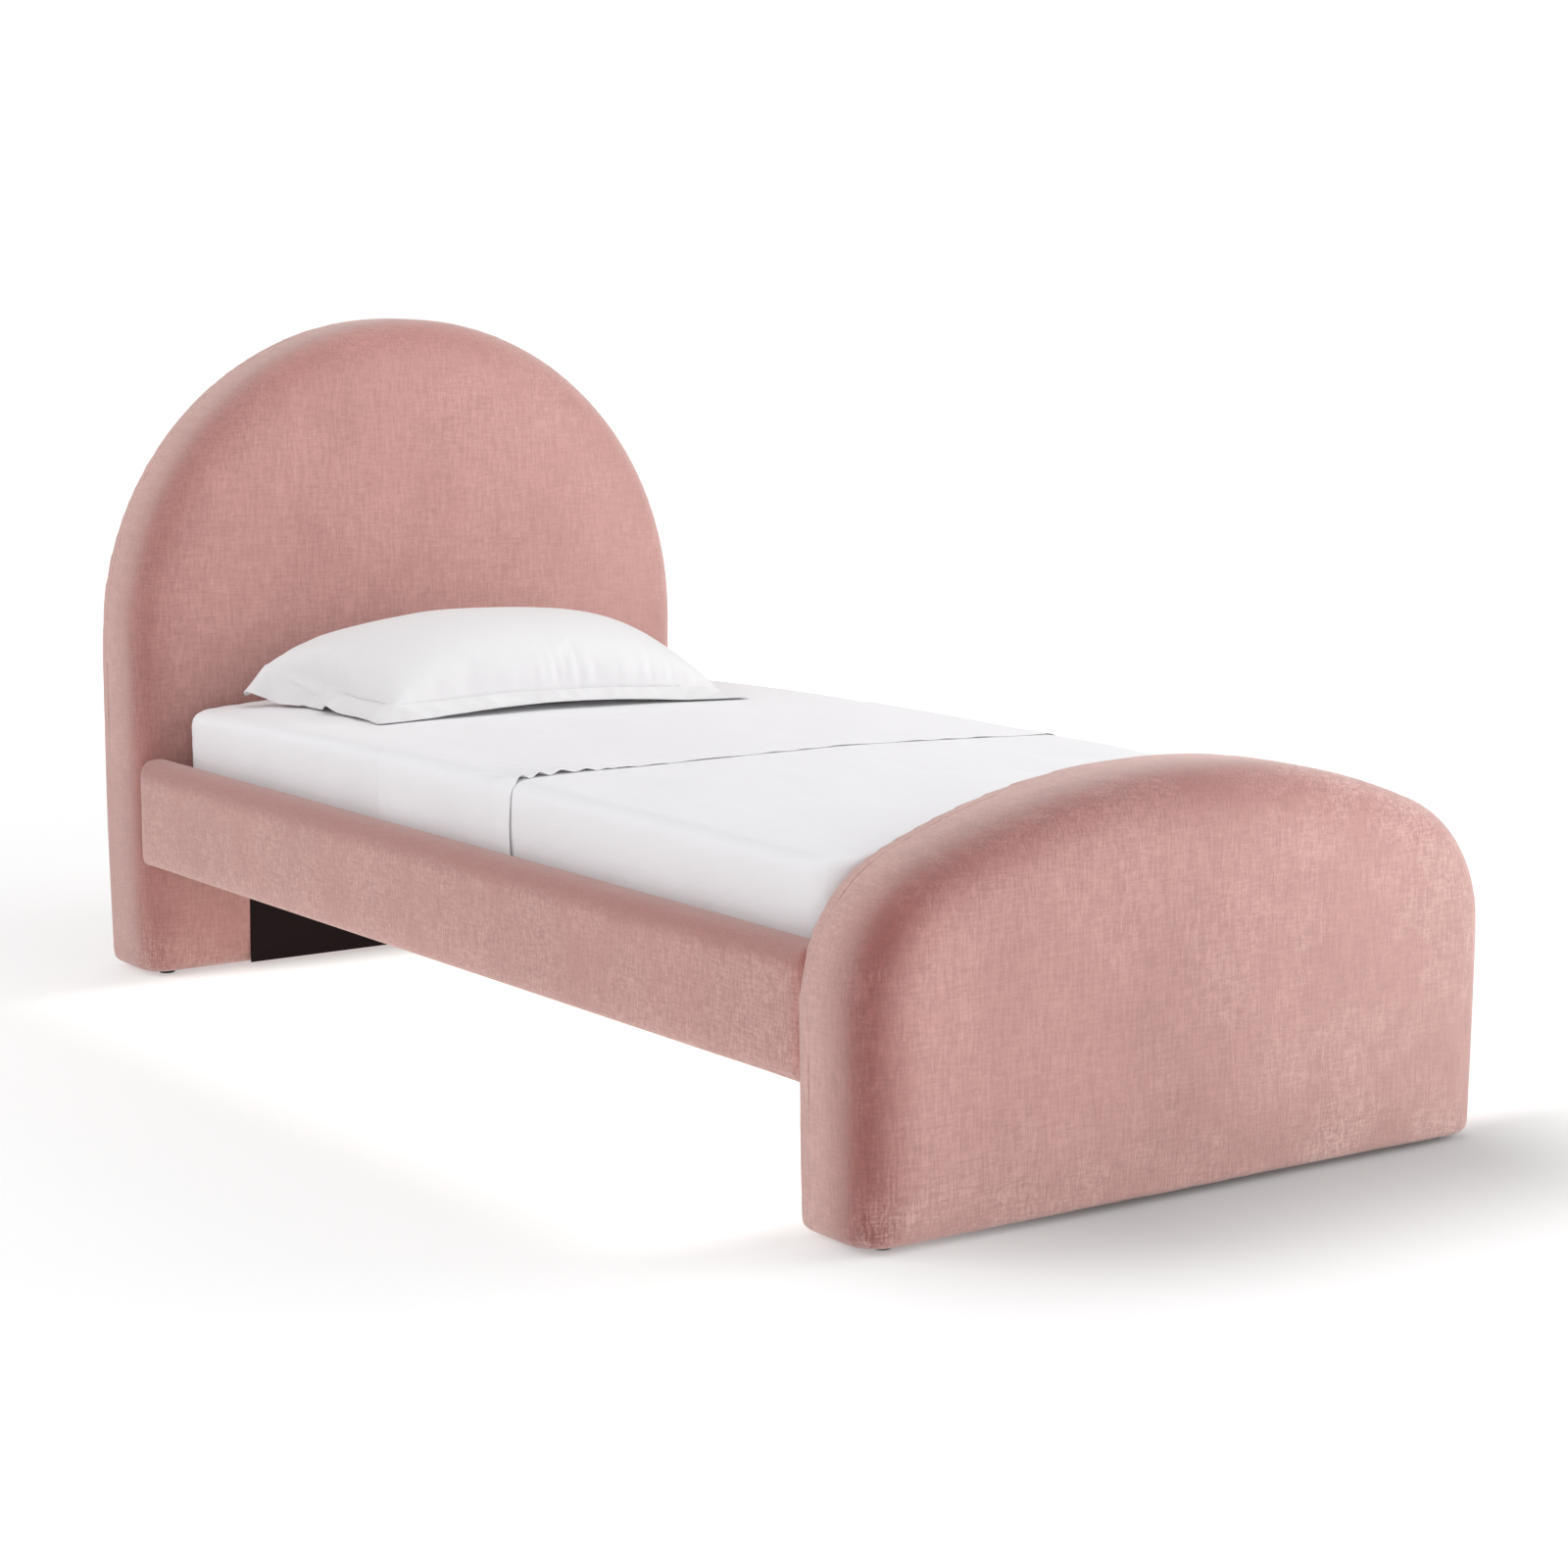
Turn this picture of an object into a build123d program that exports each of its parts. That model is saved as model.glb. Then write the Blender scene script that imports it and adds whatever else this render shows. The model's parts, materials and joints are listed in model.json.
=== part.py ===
from build123d import *
import math
import os

# Upholstered single bed with an arched headboard, a lower arched footboard and made-up bedding.
# Frame: X across the bed, +Y towards the headboard, +Z up, millimetres.
# The origin is on the floor, under the middle of the whole bed.

# ---------------------------------------------------------------- driving dimensions
board_width = 1104              # both boards, over the padding
board_depth = 160
inner_length = 1930             # clear length between the boards
head_shape = (1124, 572, None)  # crown height, height where the sides start to curve, side arc radius
foot_shape = (583, 311, 202)    # a half circle, as at the head, has no side arcs
glide_height = 6                # plastic glides under the boards

rail_z = (196, 386)             # side rail, bottom and top
rail_depth = 64                 # side rail, outside to inside
rail_margin = 1                 # rail's outside, in from the boards' sides
rail_press = 20                 # how far a rail's end presses into a board's padding

mattress_size = (965, 1905, 203)
mattress_y = -6                 # the mattress sits a little nearer the foot
slat_top = 286

# upholstery
cloth = 2                       # pile fabric with its backing
board_foam = 30                 # foam on both faces of a board
rim_foam = 24                   # foam round a board's edge
face_round = 45                 # padded edge on the side of a board that shows
back_round = 25
rail_foam = (20, 10)            # outside and inside of a side rail
rail_cap_foam = 12              # above and below a rail's timber
rail_round = (24, 18, 8)        # rail's top outside, top inside and bottom edges
dust_cloth = 1
dust_leg = 200                  # velvet left at each side of a board's black lower panel
dust_top = 194

# timber
skin = 9                        # plywood skins of a board
post_width = 90
member = 60                     # height of a board's cross members
rim_width = 45
slat_size = (962, 70, 18)
slat_count = 13
slat_reach = 860                # first and last slat from the middle of the bed
ledge_size = (28, 1800, 30)
beam_size = (60, 60)            # width and height of the centre beam
leg_places = (-400, 400)        # centre legs along the bed
leg_size = 50
leg_bottom = 34

# steel and plastic
plate = 4
bracket_z = (200, 282)
bracket_reach = (38, 58)        # flange on the board, flange on the rail
bolt_radius = 4                 # M8
bolt_hole = 4.5
bolt_length = 60
head_radius = 6.5
head_height = 5.3
nut_size = (8, 11)              # radius and depth of a T-nut's barrel
rail_bolt_z = (222, 260)
rail_bolt_in = 22               # rail's bolts, in from its inner face
beam_bolt_x = 52
screw_radius = 2
screw_head = (4, 2.4)
screw_length = 30
stud_radius = 5                 # M10 levelling stud
stud_length = 56
pad_size = (22, 12)             # radius and height
insert_size = (8, 18)           # threaded insert in the bottom of a leg
glide_size = (14, 60)           # radius, and distance in from a board's sides
saddle_reach = 44               # how far a saddle reaches under the beam
saddle_width = 148
saddle_drop = 12                # its back plate's top, under the beam's top

# bedding
sheet = 1.5
contact_gap = 0.3               # between pieces that lift off each other
mattress_round = (60, 18)       # upright corners, then top and bottom edges
tuck = 150                      # cloth turned in under the mattress
fold_y = 240                    # folded edge of the top sheet
hem_y = -185                    # hem of the band that is folded back
pillow_size = (600, 400, 150)
pillow_place = (6, 662)
pillow_turn = -8                # degrees about the vertical
pillow_corner = 50
pillow_rim = 0.3                # share of its height that stands upright
pillow_lean = 50                # degrees that its upper sides lean in
flange = 45

# ---------------------------------------------------------------- places worked out from them
half = board_width / 2
face_y = inner_length / 2                          # faces of the boards towards the mattress
timber_inset = rim_foam + cloth                    # a board's timber, in from its padded edge
core_span = (board_foam + cloth, board_depth - board_foam - cloth)
rib_span = (core_span[0] + skin, core_span[1] - skin)
board_low = glide_height + cloth
timber_half = half - timber_inset
rail_x = (half - rail_margin - rail_depth, half - rail_margin)
rail_half_length = face_y + rail_press
beam_top = slat_top - slat_size[2]
beam_low = beam_top - beam_size[1]
beam_half_length = face_y - plate - 1
saddle_screw_y = face_y - saddle_reach / 2
bed_z = slat_top + contact_gap                     # lowest cloth under the mattress
mattress_low = bed_z + 2 * sheet
mattress_top = mattress_low + mattress_size[2]
pillow_low = mattress_top + sheet + contact_gap


def block(x, y, z):
    """A box from its (low, high) in X, Y and Z."""
    size = [high - low for low, high in (x, y, z)]
    middle = [(high + low) / 2 for low, high in (x, y, z)]
    return Pos(*middle) * Box(*size)


def both(low, high, sign):
    """(low, high) measured out from the middle, on the side that sign names."""
    return (low, high) if sign > 0 else (-high, -low)


def bar(axis, place, span, radius):
    """A round bar along X, Y or Z; place is its other two coordinates."""
    turns = {"x": (0, 90, 0), "y": (90, 0, 0), "z": (0, 0, 0)}
    middle = list(place)
    middle.insert("xyz".index(axis), sum(span) / 2)
    return Pos(*middle) * Cylinder(radius, span[1] - span[0], rotation=turns[axis])


def group(shapes):
    """Separate solids kept together as one piece of hardware."""
    return Compound(children=[solid for shape in shapes for solid in shape.solids()])


def edges_along(solid, axis, test):
    """Edges parallel to an axis whose centres pass a test."""
    return [e for e in solid.edges().filter_by(axis) if test(e.center())]


# ---------------------------------------------------------------- headboard and footboard
class Board:
    """One upholstered board. sign is +1 at the head and -1 at the foot.

    depth is measured from the mattress side of the board outwards. showing says which side
    has the larger rounding: the mattress side of the headboard, the far side of the footboard.
    """

    def __init__(self, name, shape, sign, showing):
        self.name = name
        self.height, self.spring, self.side_radius = shape
        self.sign = sign
        self.inner_round, self.outer_round = (
            (face_round, back_round) if showing == "inner" else (back_round, face_round)
        )

    def y(self, depth_span):
        return both(face_y + depth_span[0], face_y + depth_span[1], self.sign)

    def arch(self, inset):
        """The arch's arcs in the XZ plane, from right to left.

        Side arcs, if there are any, run into the wide crown arc without a corner.
        """
        a = half - inset
        rise = self.height - inset - self.spring
        top = (0, self.spring + rise)
        if not self.side_radius:
            return [ThreePointArc((a, self.spring), top, (-a, self.spring))]
        r = self.side_radius - inset
        crown = ((a - r) ** 2 + rise**2 - r**2) / (2 * (rise - r))
        centre = self.spring + rise - crown
        turn = math.atan2(a - r, self.spring - centre)
        corner = (crown * math.sin(turn), centre + crown * math.cos(turn))
        middle = (math.pi / 2 - turn) / 2
        side = (a - r + r * math.cos(middle), self.spring + r * math.sin(middle))
        return [
            ThreePointArc((a, self.spring), side, corner),
            ThreePointArc(corner, top, (-corner[0], corner[1])),
            ThreePointArc((-corner[0], corner[1]), (-side[0], side[1]), (-a, self.spring)),
        ]

    def outline(self, inset, bottom):
        """The board's face in the XZ plane, moved in by inset, from the height bottom up."""
        a = half - inset
        lines = [Line((-a, bottom), (a, bottom)), *self.arch(inset)]
        if bottom < self.spring:
            lines.insert(1, Line((a, bottom), (a, self.spring)))
            lines.append(Line((-a, self.spring), (-a, bottom)))
        return make_face(Wire(lines))

    def slab(self, inset, depth_span, bottom=board_low):
        low, high = self.y(depth_span)
        face = Plane.XZ.offset(-low) * self.outline(inset, bottom)
        return extrude(face, amount=high - low, dir=(0, 1, 0))

    def rounded(self, inset, depth_span, bottom):
        """A slab with its inner and outer edges rounded, apart from along the floor."""
        solid = self.slab(inset, depth_span, bottom)
        for depth, radius in zip(depth_span, (self.inner_round, self.outer_round)):
            at = self.sign * (face_y + depth)
            edges = [
                e
                for e in solid.edges()
                if abs(e.bounding_box().min.Y - at) < 0.01
                and abs(e.bounding_box().max.Y - at) < 0.01
                and e.bounding_box().max.Z > bottom + 1
            ]
            solid = fillet(edges, radius - inset)
        return solid

    def bolt_places(self):
        """(x, z) of the bolts: two for each rail and two for the centre beam."""
        rail_bolt_x = rail_x[0] - rail_bolt_in
        rails = [(s * rail_bolt_x, z) for s in (-1, 1) for z in rail_bolt_z]
        beams = [(s * beam_bolt_x, (beam_low + beam_top) / 2) for s in (-1, 1)]
        return rails + beams

    def drilled(self, solid, radius=bolt_hole, depth_span=None):
        span = self.y(depth_span or (-1, board_depth / 2))
        for x, z in self.bolt_places():
            solid -= bar("y", (x, z), span, radius)
        return solid

    def rail_pockets(self, grow):
        """The hollows that the rails' ends press into the padding."""
        pockets = []
        for s in (-1, 1):
            x = both(rail_x[0] - grow, rail_x[1] + half, s)
            z = (rail_z[0] - grow, rail_z[1] + grow)
            pockets.append(block(x, self.y((-1, rail_press + grow)), z))
        return pockets

    def upholstery(self):
        """The cover, with a lining in each rail's hollow, and the foam under it."""
        outer = self.rounded(0, (0, board_depth), glide_height)
        inner = self.rounded(cloth, (cloth, board_depth - cloth), board_low)
        core = self.slab(timber_inset, core_span)
        cover = outer - inner
        foam = inner - core
        for pocket, lined in zip(self.rail_pockets(0), self.rail_pockets(cloth)):
            cover = (cover - lined) + ((outer & lined) - pocket)
            foam -= lined
        return self.drilled(cover), self.drilled(foam)

    def frame(self):
        """Uprights, cross members and the curved rim between the plywood skins."""
        y = self.y(rib_span)
        span = (post_width - timber_half, timber_half - post_width)
        pieces = {}
        for word, s in (("left", -1), ("right", 1)):
            x = both(timber_half - post_width, timber_half, s)
            pieces[f"{word}_post"] = block(x, y, (board_low, self.spring))
        pieces["sill"] = block(span, y, (board_low, board_low + member))
        pieces["bolt_rail"] = block(span, y, (beam_low - 20, beam_top + 14))
        if self.spring - member > beam_top + member:
            pieces["cross_rail"] = block(span, y, (self.spring - member, self.spring))
        whole = self.slab(timber_inset, rib_span, self.spring)
        pieces["arch_rim"] = whole - self.slab(timber_inset + rim_width, rib_span, self.spring - 1)
        seats = (rib_span[0], rib_span[1])
        for name in ("left_post", "right_post", "bolt_rail"):
            pieces[name] = self.drilled(pieces[name], nut_size[0], seats)
        return pieces

    def nuts(self):
        shapes = []
        for x, z in self.bolt_places():
            seat = self.y((rib_span[0], rib_span[0] + nut_size[1]))
            through = self.y((rib_span[0] - 1, rib_span[0] + nut_size[1] + 1))
            shapes.append(bar("y", (x, z), seat, nut_size[0]) - bar("y", (x, z), through, bolt_hole))
        return shapes

    def bolts(self):
        """Hexagon-head bolts from inside the bed, through the brackets, into the nuts."""
        shapes = []
        for x, z in self.bolt_places():
            shank = bar("y", (x, z), self.y((-plate, bolt_length - plate)), bolt_radius)
            low, high = self.y((-plate - head_height, -plate))
            hexagon = Plane.XZ.offset(-low) * Pos(x, z) * RegularPolygon(head_radius, 6)
            shapes.append(shank + extrude(hexagon, amount=high - low, dir=(0, 1, 0)))
        return shapes

    def dust_panel(self):
        x = half - dust_leg
        return block((-x, x), self.y((-dust_cloth, 0)), (board_low, dust_top))

    def glides(self):
        shapes = []
        for share in (0.28, 0.72):
            for s in (-1, 1):
                place = (s * (half - glide_size[1]), self.sign * (face_y + share * board_depth))
                foot = bar("z", place, (0, glide_height), glide_size[0])
                shapes.append(chamfer(foot.edges().group_by(Axis.Z)[0], 1.5))
        return shapes

    def pieces(self):
        cover, foam = self.upholstery()
        made = {
            "cover": cover,
            "foam": foam,
            "inner_panel": self.drilled(self.slab(timber_inset, (core_span[0], rib_span[0]))),
            "outer_panel": self.slab(timber_inset, (rib_span[1], core_span[1])),
            "dust_panel": self.dust_panel(),
            "glides": group(self.glides()),
            "bolt_nuts": group(self.nuts()),
        }
        made.update(self.frame())
        return {f"{self.name}_{part}": shape for part, shape in made.items()}


# ---------------------------------------------------------------- side rails
def rail_layer(sign, inset, ends):
    """A rail's padded section, moved in by inset all round, from end to end."""
    x = both(rail_x[0] + inset, rail_x[1] - inset, sign)
    solid = block(x, (-ends, ends), (rail_z[0] + inset, rail_z[1] - inset))
    top = rail_z[1] - inset - 1
    outside = sign * (rail_x[1] - inset - 1)
    tests = (
        (lambda c: c.Z > top and sign * c.X > sign * outside, rail_round[0]),
        (lambda c: c.Z > top and sign * c.X < sign * outside, rail_round[1]),
        (lambda c: c.Z < rail_z[0] + inset + 1, rail_round[2]),
    )
    for test, radius in tests:
        solid = fillet(edges_along(solid, Axis.Y, test), radius - inset)
    return solid


def slat_y(index):
    """Where a slat lies along the bed; a half names the gap after it."""
    return slat_reach * (2 * index / (slat_count - 1) - 1)


def rail_screw_places():
    """(y, z) of the screws that hold a rail's brackets, and of those that hold its ledge."""
    near = face_y - bracket_reach[1] + 16
    heights = (bracket_z[0] + 14, bracket_z[1] - 14)
    brackets = [(end * y, z) for end in (-1, 1) for y in (near, near + 26) for z in heights]
    ledge_z = beam_top - ledge_size[2] / 2
    ledges = [(slat_y(i + 0.5), ledge_z) for i in range(0, slat_count - 1, 2)]
    return brackets, ledges


def wood_screw(axis, place, head_at, way, length=screw_length):
    """A screw whose head is at head_at and whose point lies way (+1 or -1) along the axis."""
    ends = sorted((head_at, head_at + way * length))
    head = sorted((head_at, head_at - way * screw_head[1]))
    return bar(axis, place, ends, screw_radius) + bar(axis, place, head, screw_head[0])


def rail_holes(sign, solid):
    """Takes the screws' shanks out of a layer of a rail."""
    for place in sum(rail_screw_places(), []):
        ends = both(rail_x[0] - 1, rail_x[0] + screw_length, sign)
        solid -= bar("x", place, ends, screw_radius)
    return solid


def rail_pieces(word, sign):
    cover = rail_layer(sign, 0, rail_half_length) - rail_layer(sign, cloth, rail_half_length - cloth)
    foam = rail_layer(sign, cloth, rail_half_length - cloth)
    x = both(rail_x[0] + cloth + rail_foam[1], rail_x[1] - cloth - rail_foam[0], sign)
    z = (rail_z[0] + cloth + rail_cap_foam / 2, rail_z[1] - cloth - rail_cap_foam)
    ends = rail_half_length - cloth
    timber = block(x, (-ends, ends), z)
    ledge_x = both(rail_x[0] - ledge_size[0], rail_x[0], sign)
    ledge = block(ledge_x, (-ledge_size[1] / 2, ledge_size[1] / 2), (beam_top - ledge_size[2], beam_top))
    for place in rail_screw_places()[1]:
        hole = both(rail_x[0] - ledge_size[0] - 1, rail_x[0] + 1, sign)
        ledge -= bar("x", place, hole, screw_radius)
    return {
        f"{word}_rail_cover": rail_holes(sign, cover),
        f"{word}_rail_foam": rail_holes(sign, foam - timber),
        f"{word}_rail_board": rail_holes(sign, timber),
        f"{word}_slat_ledge": ledge,
    }


def rail_screws(sign):
    brackets, ledges = rail_screw_places()
    bracket_head = sign * (rail_x[0] - plate)
    ledge_head = sign * (rail_x[0] - ledge_size[0])
    shapes = [wood_screw("x", place, bracket_head, sign, screw_length + plate) for place in brackets]
    shapes += [wood_screw("x", place, ledge_head, sign, screw_length + ledge_size[0]) for place in ledges]
    return shapes


def corner_bracket(sign, end):
    """An angle plate between a rail and a board, with two bolt holes and four screw holes."""
    flat_x = both(rail_x[0] - bracket_reach[0], rail_x[0], sign)
    flat = block(flat_x, both(face_y - plate, face_y, end), bracket_z)
    side_x = both(rail_x[0] - plate, rail_x[0], sign)
    side = block(side_x, both(face_y - bracket_reach[1], face_y, end), bracket_z)
    angle = flat + side
    for z in rail_bolt_z:
        place = (sign * (rail_x[0] - rail_bolt_in), z)
        angle -= bar("y", place, both(face_y - plate - 1, face_y + 1, end), bolt_hole)
    for place in rail_screw_places()[0]:
        angle -= bar("x", place, both(rail_x[0] - plate - 1, rail_x[0] + 1, sign), screw_radius)
    return angle


# ---------------------------------------------------------------- slatted base
def slat_screw_places():
    """(x, y) of the two screws that hold each slat to the ledges."""
    x = rail_x[0] - ledge_size[0] / 2
    return [(s * x, slat_y(i)) for i in range(slat_count) for s in (-1, 1)]


def slats():
    width, depth, _ = slat_size
    shapes = []
    for i in range(slat_count):
        y = (slat_y(i) - depth / 2, slat_y(i) + depth / 2)
        slat = block((-width / 2, width / 2), y, (beam_top, slat_top))
        slat = fillet(slat.edges().filter_by(Axis.X), 3)
        for place in slat_screw_places()[2 * i : 2 * i + 2]:
            slat -= bar("z", place, (beam_top - 1, slat_top), screw_radius)
            slat -= bar("z", place, (slat_top - screw_head[1], slat_top + 1), screw_head[0])
        shapes.append(slat)
    return shapes


def slat_screws():
    """Countersunk flush with the slats' tops."""
    top = slat_top - screw_head[1]
    return [wood_screw("z", place, top, -1, 34) for place in slat_screw_places()]


def ledge_holes(ledge):
    for place in slat_screw_places():
        ledge -= bar("z", place, (beam_top - 20, beam_top + 1), screw_radius)
    return ledge


def centre_beam():
    x = beam_size[0] / 2
    beam = block((-x, x), (-beam_half_length, beam_half_length), (beam_low, beam_top))
    beam = chamfer(beam.edges().filter_by(Axis.Y), 2)
    for y in leg_places:
        beam -= bar("z", (0, y), (beam_low - 1, beam_low + 40), bolt_radius)
    for end in (-1, 1):
        beam -= bar("z", (0, end * saddle_screw_y), (beam_low - 1, beam_low + screw_length), screw_radius)
    return beam


def beam_saddle(end):
    """A steel saddle bolted to a board: a back plate, a floor under the beam and two cheeks."""
    gap = 1
    inner = beam_size[0] / 2 + gap
    outer = inner + plate
    low = beam_low - plate
    back_x = saddle_width / 2
    back = block((-back_x, back_x), both(face_y - plate, face_y, end), (low, beam_top - saddle_drop))
    y = both(face_y - saddle_reach, face_y, end)
    saddle = back + block((-outer, outer), y, (low, beam_low))
    for s in (-1, 1):
        saddle += block(both(inner, outer, s), y, (low, beam_low + beam_size[1] / 2))
    for s in (-1, 1):
        place = (s * beam_bolt_x, (beam_low + beam_top) / 2)
        saddle -= bar("y", place, both(face_y - plate - 1, face_y + 1, end), bolt_hole)
    saddle -= bar("z", (0, end * saddle_screw_y), (low - 1, beam_low + 1), screw_radius)
    return saddle


def centre_leg(y):
    """A square leg, bored for its hanger bolt at the top and for the insert at the bottom."""
    side = leg_size / 2
    leg = block((-side, side), (y - side, y + side), (leg_bottom, beam_low))
    leg = fillet(leg.edges().filter_by(Axis.Z), 4)
    leg -= bar("z", (0, y), (beam_low - 40, beam_low + 1), bolt_radius)
    leg -= bar("z", (0, y), (leg_bottom - 1, leg_bottom + insert_size[1]), insert_size[0])
    clear = stud_radius + 1
    leg -= bar("z", (0, y), (leg_bottom, leg_bottom + stud_length + 16), clear)
    return leg


def leg_insert(y):
    """The M10 sleeve; the stud turns in it with running clearance."""
    span = (leg_bottom, leg_bottom + insert_size[1])
    through = (span[0] - 1, span[1] + 1)
    return bar("z", (0, y), span, insert_size[0]) - bar("z", (0, y), through, stud_radius + 0.3)


def foot_stud(y):
    """The threaded stud, which climbs through the insert as the foot is turned."""
    low = pad_size[1] + contact_gap
    return bar("z", (0, y), (low, low + stud_length), stud_radius)


def foot_pad(y):
    """The swivelling foot: a round base with a hexagon collar for a spanner."""
    radius, height = pad_size
    base = bar("z", (0, y), (0, height / 2), radius)
    base = fillet(base.edges().group_by(Axis.Z)[-1], 1.5)
    collar = extrude(Pos(0, y, height / 2) * RegularPolygon(radius * 0.55, 6), amount=height / 2)
    return base + collar


# ---------------------------------------------------------------- bedding
def bed_block(grow):
    """The mattress's rounded block, grown by grow all round."""
    x, y, z = (s / 2 + grow for s in mattress_size)
    middle = mattress_low + mattress_size[2] / 2
    solid = Pos(0, mattress_y, middle) * Box(2 * x, 2 * y, 2 * z)
    solid = fillet(solid.edges().filter_by(Axis.Z), mattress_round[0] + grow)
    rims = solid.edges().group_by(Axis.Z)
    return fillet(rims[0] + rims[-1], mattress_round[1] + grow)


def underside_window(grow):
    """Where a sheet's turned-in edge stops, under the mattress."""
    x = mattress_size[0] / 2 - tuck
    y = mattress_size[1] / 2 - tuck
    z = (mattress_low - grow - 1, mattress_low + 1)
    return block((-x, x), (mattress_y - y, mattress_y + y), z)


def fitted_sheet():
    return bed_block(sheet) - bed_block(0) - underside_window(sheet)


def top_sheet():
    """The flat sheet, tucked in at the sides and the foot, with its head end folded back."""
    wrap = bed_block(2 * sheet) - bed_block(sheet) - underside_window(2 * sheet)
    wide = board_width
    foot = mattress_y - mattress_size[1]
    laid = wrap & block((-wide, wide), (foot, fold_y), (0, mattress_top + 2 * sheet))
    x = mattress_size[0] / 2 - mattress_round[1]
    band_z = (mattress_top + 2 * sheet, mattress_top + 3 * sheet)
    return laid + block((-x, x), (hem_y, fold_y), band_z)


def pillow_form(size, low):
    """A soft-edged form: an upright rim, then sides that lean in to a flat crown."""
    x, y, z = size
    rim = z * pillow_rim
    plan = RectangleRounded(x, y, pillow_corner)
    form = extrude(plan, amount=rim) + extrude(Pos(0, 0, rim) * plan, amount=z - rim, taper=pillow_lean)
    form = fillet(form.edges().group_by(Axis.Z)[0], rim * 0.5)
    return Pos(*pillow_place, low) * Rot(0, 0, pillow_turn) * form


def pillow_pieces():
    """The filled pillow, and the sham round it with its flat flange."""
    x, y, z = pillow_size
    outside = pillow_form((x, y, z), pillow_low)
    filling = pillow_form((x - 2 * sheet, y - 2 * sheet, z - 2 * sheet), pillow_low + sheet)
    mid = pillow_low + z * pillow_rim / 2
    rim = Box(x + 2 * flange, y + 2 * flange, 2 * sheet)
    rim = fillet(rim.edges().filter_by(Axis.Z), 12)
    rim = Pos(*pillow_place, mid) * Rot(0, 0, pillow_turn) * rim
    return {"pillow": filling, "pillow_sham": (outside + rim) - filling}


# ---------------------------------------------------------------- the whole bed
def build():
    boards = (
        Board("headboard", head_shape, 1, "inner"),
        Board("footboard", foot_shape, -1, "outer"),
    )
    sides = (("left", -1), ("right", 1))
    ends = (("foot", -1), ("head", 1))
    pieces = {}
    for board in boards:
        pieces.update(board.pieces())
    for word, sign in sides:
        pieces.update(rail_pieces(word, sign))
        pieces[f"{word}_slat_ledge"] = ledge_holes(pieces[f"{word}_slat_ledge"])
        for end_word, end in ends:
            pieces[f"{word}_{end_word}_bracket"] = corner_bracket(sign, end)
    pieces["board_bolts"] = group(bolt for board in boards for bolt in board.bolts())
    pieces["slats"] = group(slats())
    pieces["centre_beam"] = centre_beam()
    saddle_screws = []
    for word, end in ends:
        pieces[f"{word}_beam_saddle"] = beam_saddle(end)
        place = (0, end * saddle_screw_y)
        saddle_screws.append(wood_screw("z", place, beam_low - plate, 1))
    pieces["rail_screws"] = group(rail_screws(-1) + rail_screws(1))
    pieces["slat_screws"] = group(slat_screws())
    pieces["saddle_screws"] = group(saddle_screws)
    pieces["leg_bolts"] = group(
        bar("z", (0, y), (beam_low - 38, beam_low + 38), bolt_radius) for y in leg_places
    )
    pieces["leg_inserts"] = group(leg_insert(y) for y in leg_places)
    for (word, _), y in zip(ends, leg_places):
        pieces[f"{word}_end_leg"] = centre_leg(y)
        pieces[f"{word}_end_stud"] = foot_stud(y)
        pieces[f"{word}_end_pad"] = foot_pad(y)
    pieces["mattress"] = bed_block(0)
    pieces["fitted_sheet"] = fitted_sheet()
    pieces["top_sheet"] = top_sheet()
    pieces.update(pillow_pieces())
    return pieces


os.makedirs("parts", exist_ok=True)
for node, shape in build().items():
    export_step(shape, f"parts/{node}.step")
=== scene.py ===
# %% [markdown]
# # An upholstered bed with a half-round headboard
#
# The frame of this bed is already drawn as solids: posts, rails, slats, screws. Here it gets its looks.
# Everything soft is modelled again as an upholsterer or a bed maker would make it, and the hard parts
# keep their solids and get a finish. Lengths are in metres, X runs across the bed, Y to its head, Z up.

# %% Load the frame
import json
import math
import bmesh
import bpy
import numpy as np
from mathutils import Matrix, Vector


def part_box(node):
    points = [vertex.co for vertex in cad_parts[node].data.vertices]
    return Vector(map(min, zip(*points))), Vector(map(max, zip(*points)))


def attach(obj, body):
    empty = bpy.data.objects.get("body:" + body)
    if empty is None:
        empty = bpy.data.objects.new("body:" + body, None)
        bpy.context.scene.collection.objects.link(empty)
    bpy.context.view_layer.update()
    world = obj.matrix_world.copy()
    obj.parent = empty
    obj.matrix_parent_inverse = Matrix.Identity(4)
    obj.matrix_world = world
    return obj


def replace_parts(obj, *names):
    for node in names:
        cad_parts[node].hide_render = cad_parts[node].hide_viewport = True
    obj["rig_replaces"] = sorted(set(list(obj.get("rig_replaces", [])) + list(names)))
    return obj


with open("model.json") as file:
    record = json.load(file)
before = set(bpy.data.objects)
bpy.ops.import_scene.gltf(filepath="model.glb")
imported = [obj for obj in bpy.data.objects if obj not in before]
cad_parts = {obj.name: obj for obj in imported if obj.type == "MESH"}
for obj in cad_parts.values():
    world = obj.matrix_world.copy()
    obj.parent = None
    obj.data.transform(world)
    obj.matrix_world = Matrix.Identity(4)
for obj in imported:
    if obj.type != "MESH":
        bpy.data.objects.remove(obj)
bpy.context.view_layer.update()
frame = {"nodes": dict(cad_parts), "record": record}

# %% [markdown]
# ## Studio
#
# The bed stands on a seamless white floor, lit by large soft boxes on both sides and one overhead.
# Velvet shows its shape by what comes in low from the sides, so the side lights do most of the work
# and the light from behind the camera stays weak. A single sun would draw hard shadows, and an even
# white world alone would leave the velvet flat.

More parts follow.
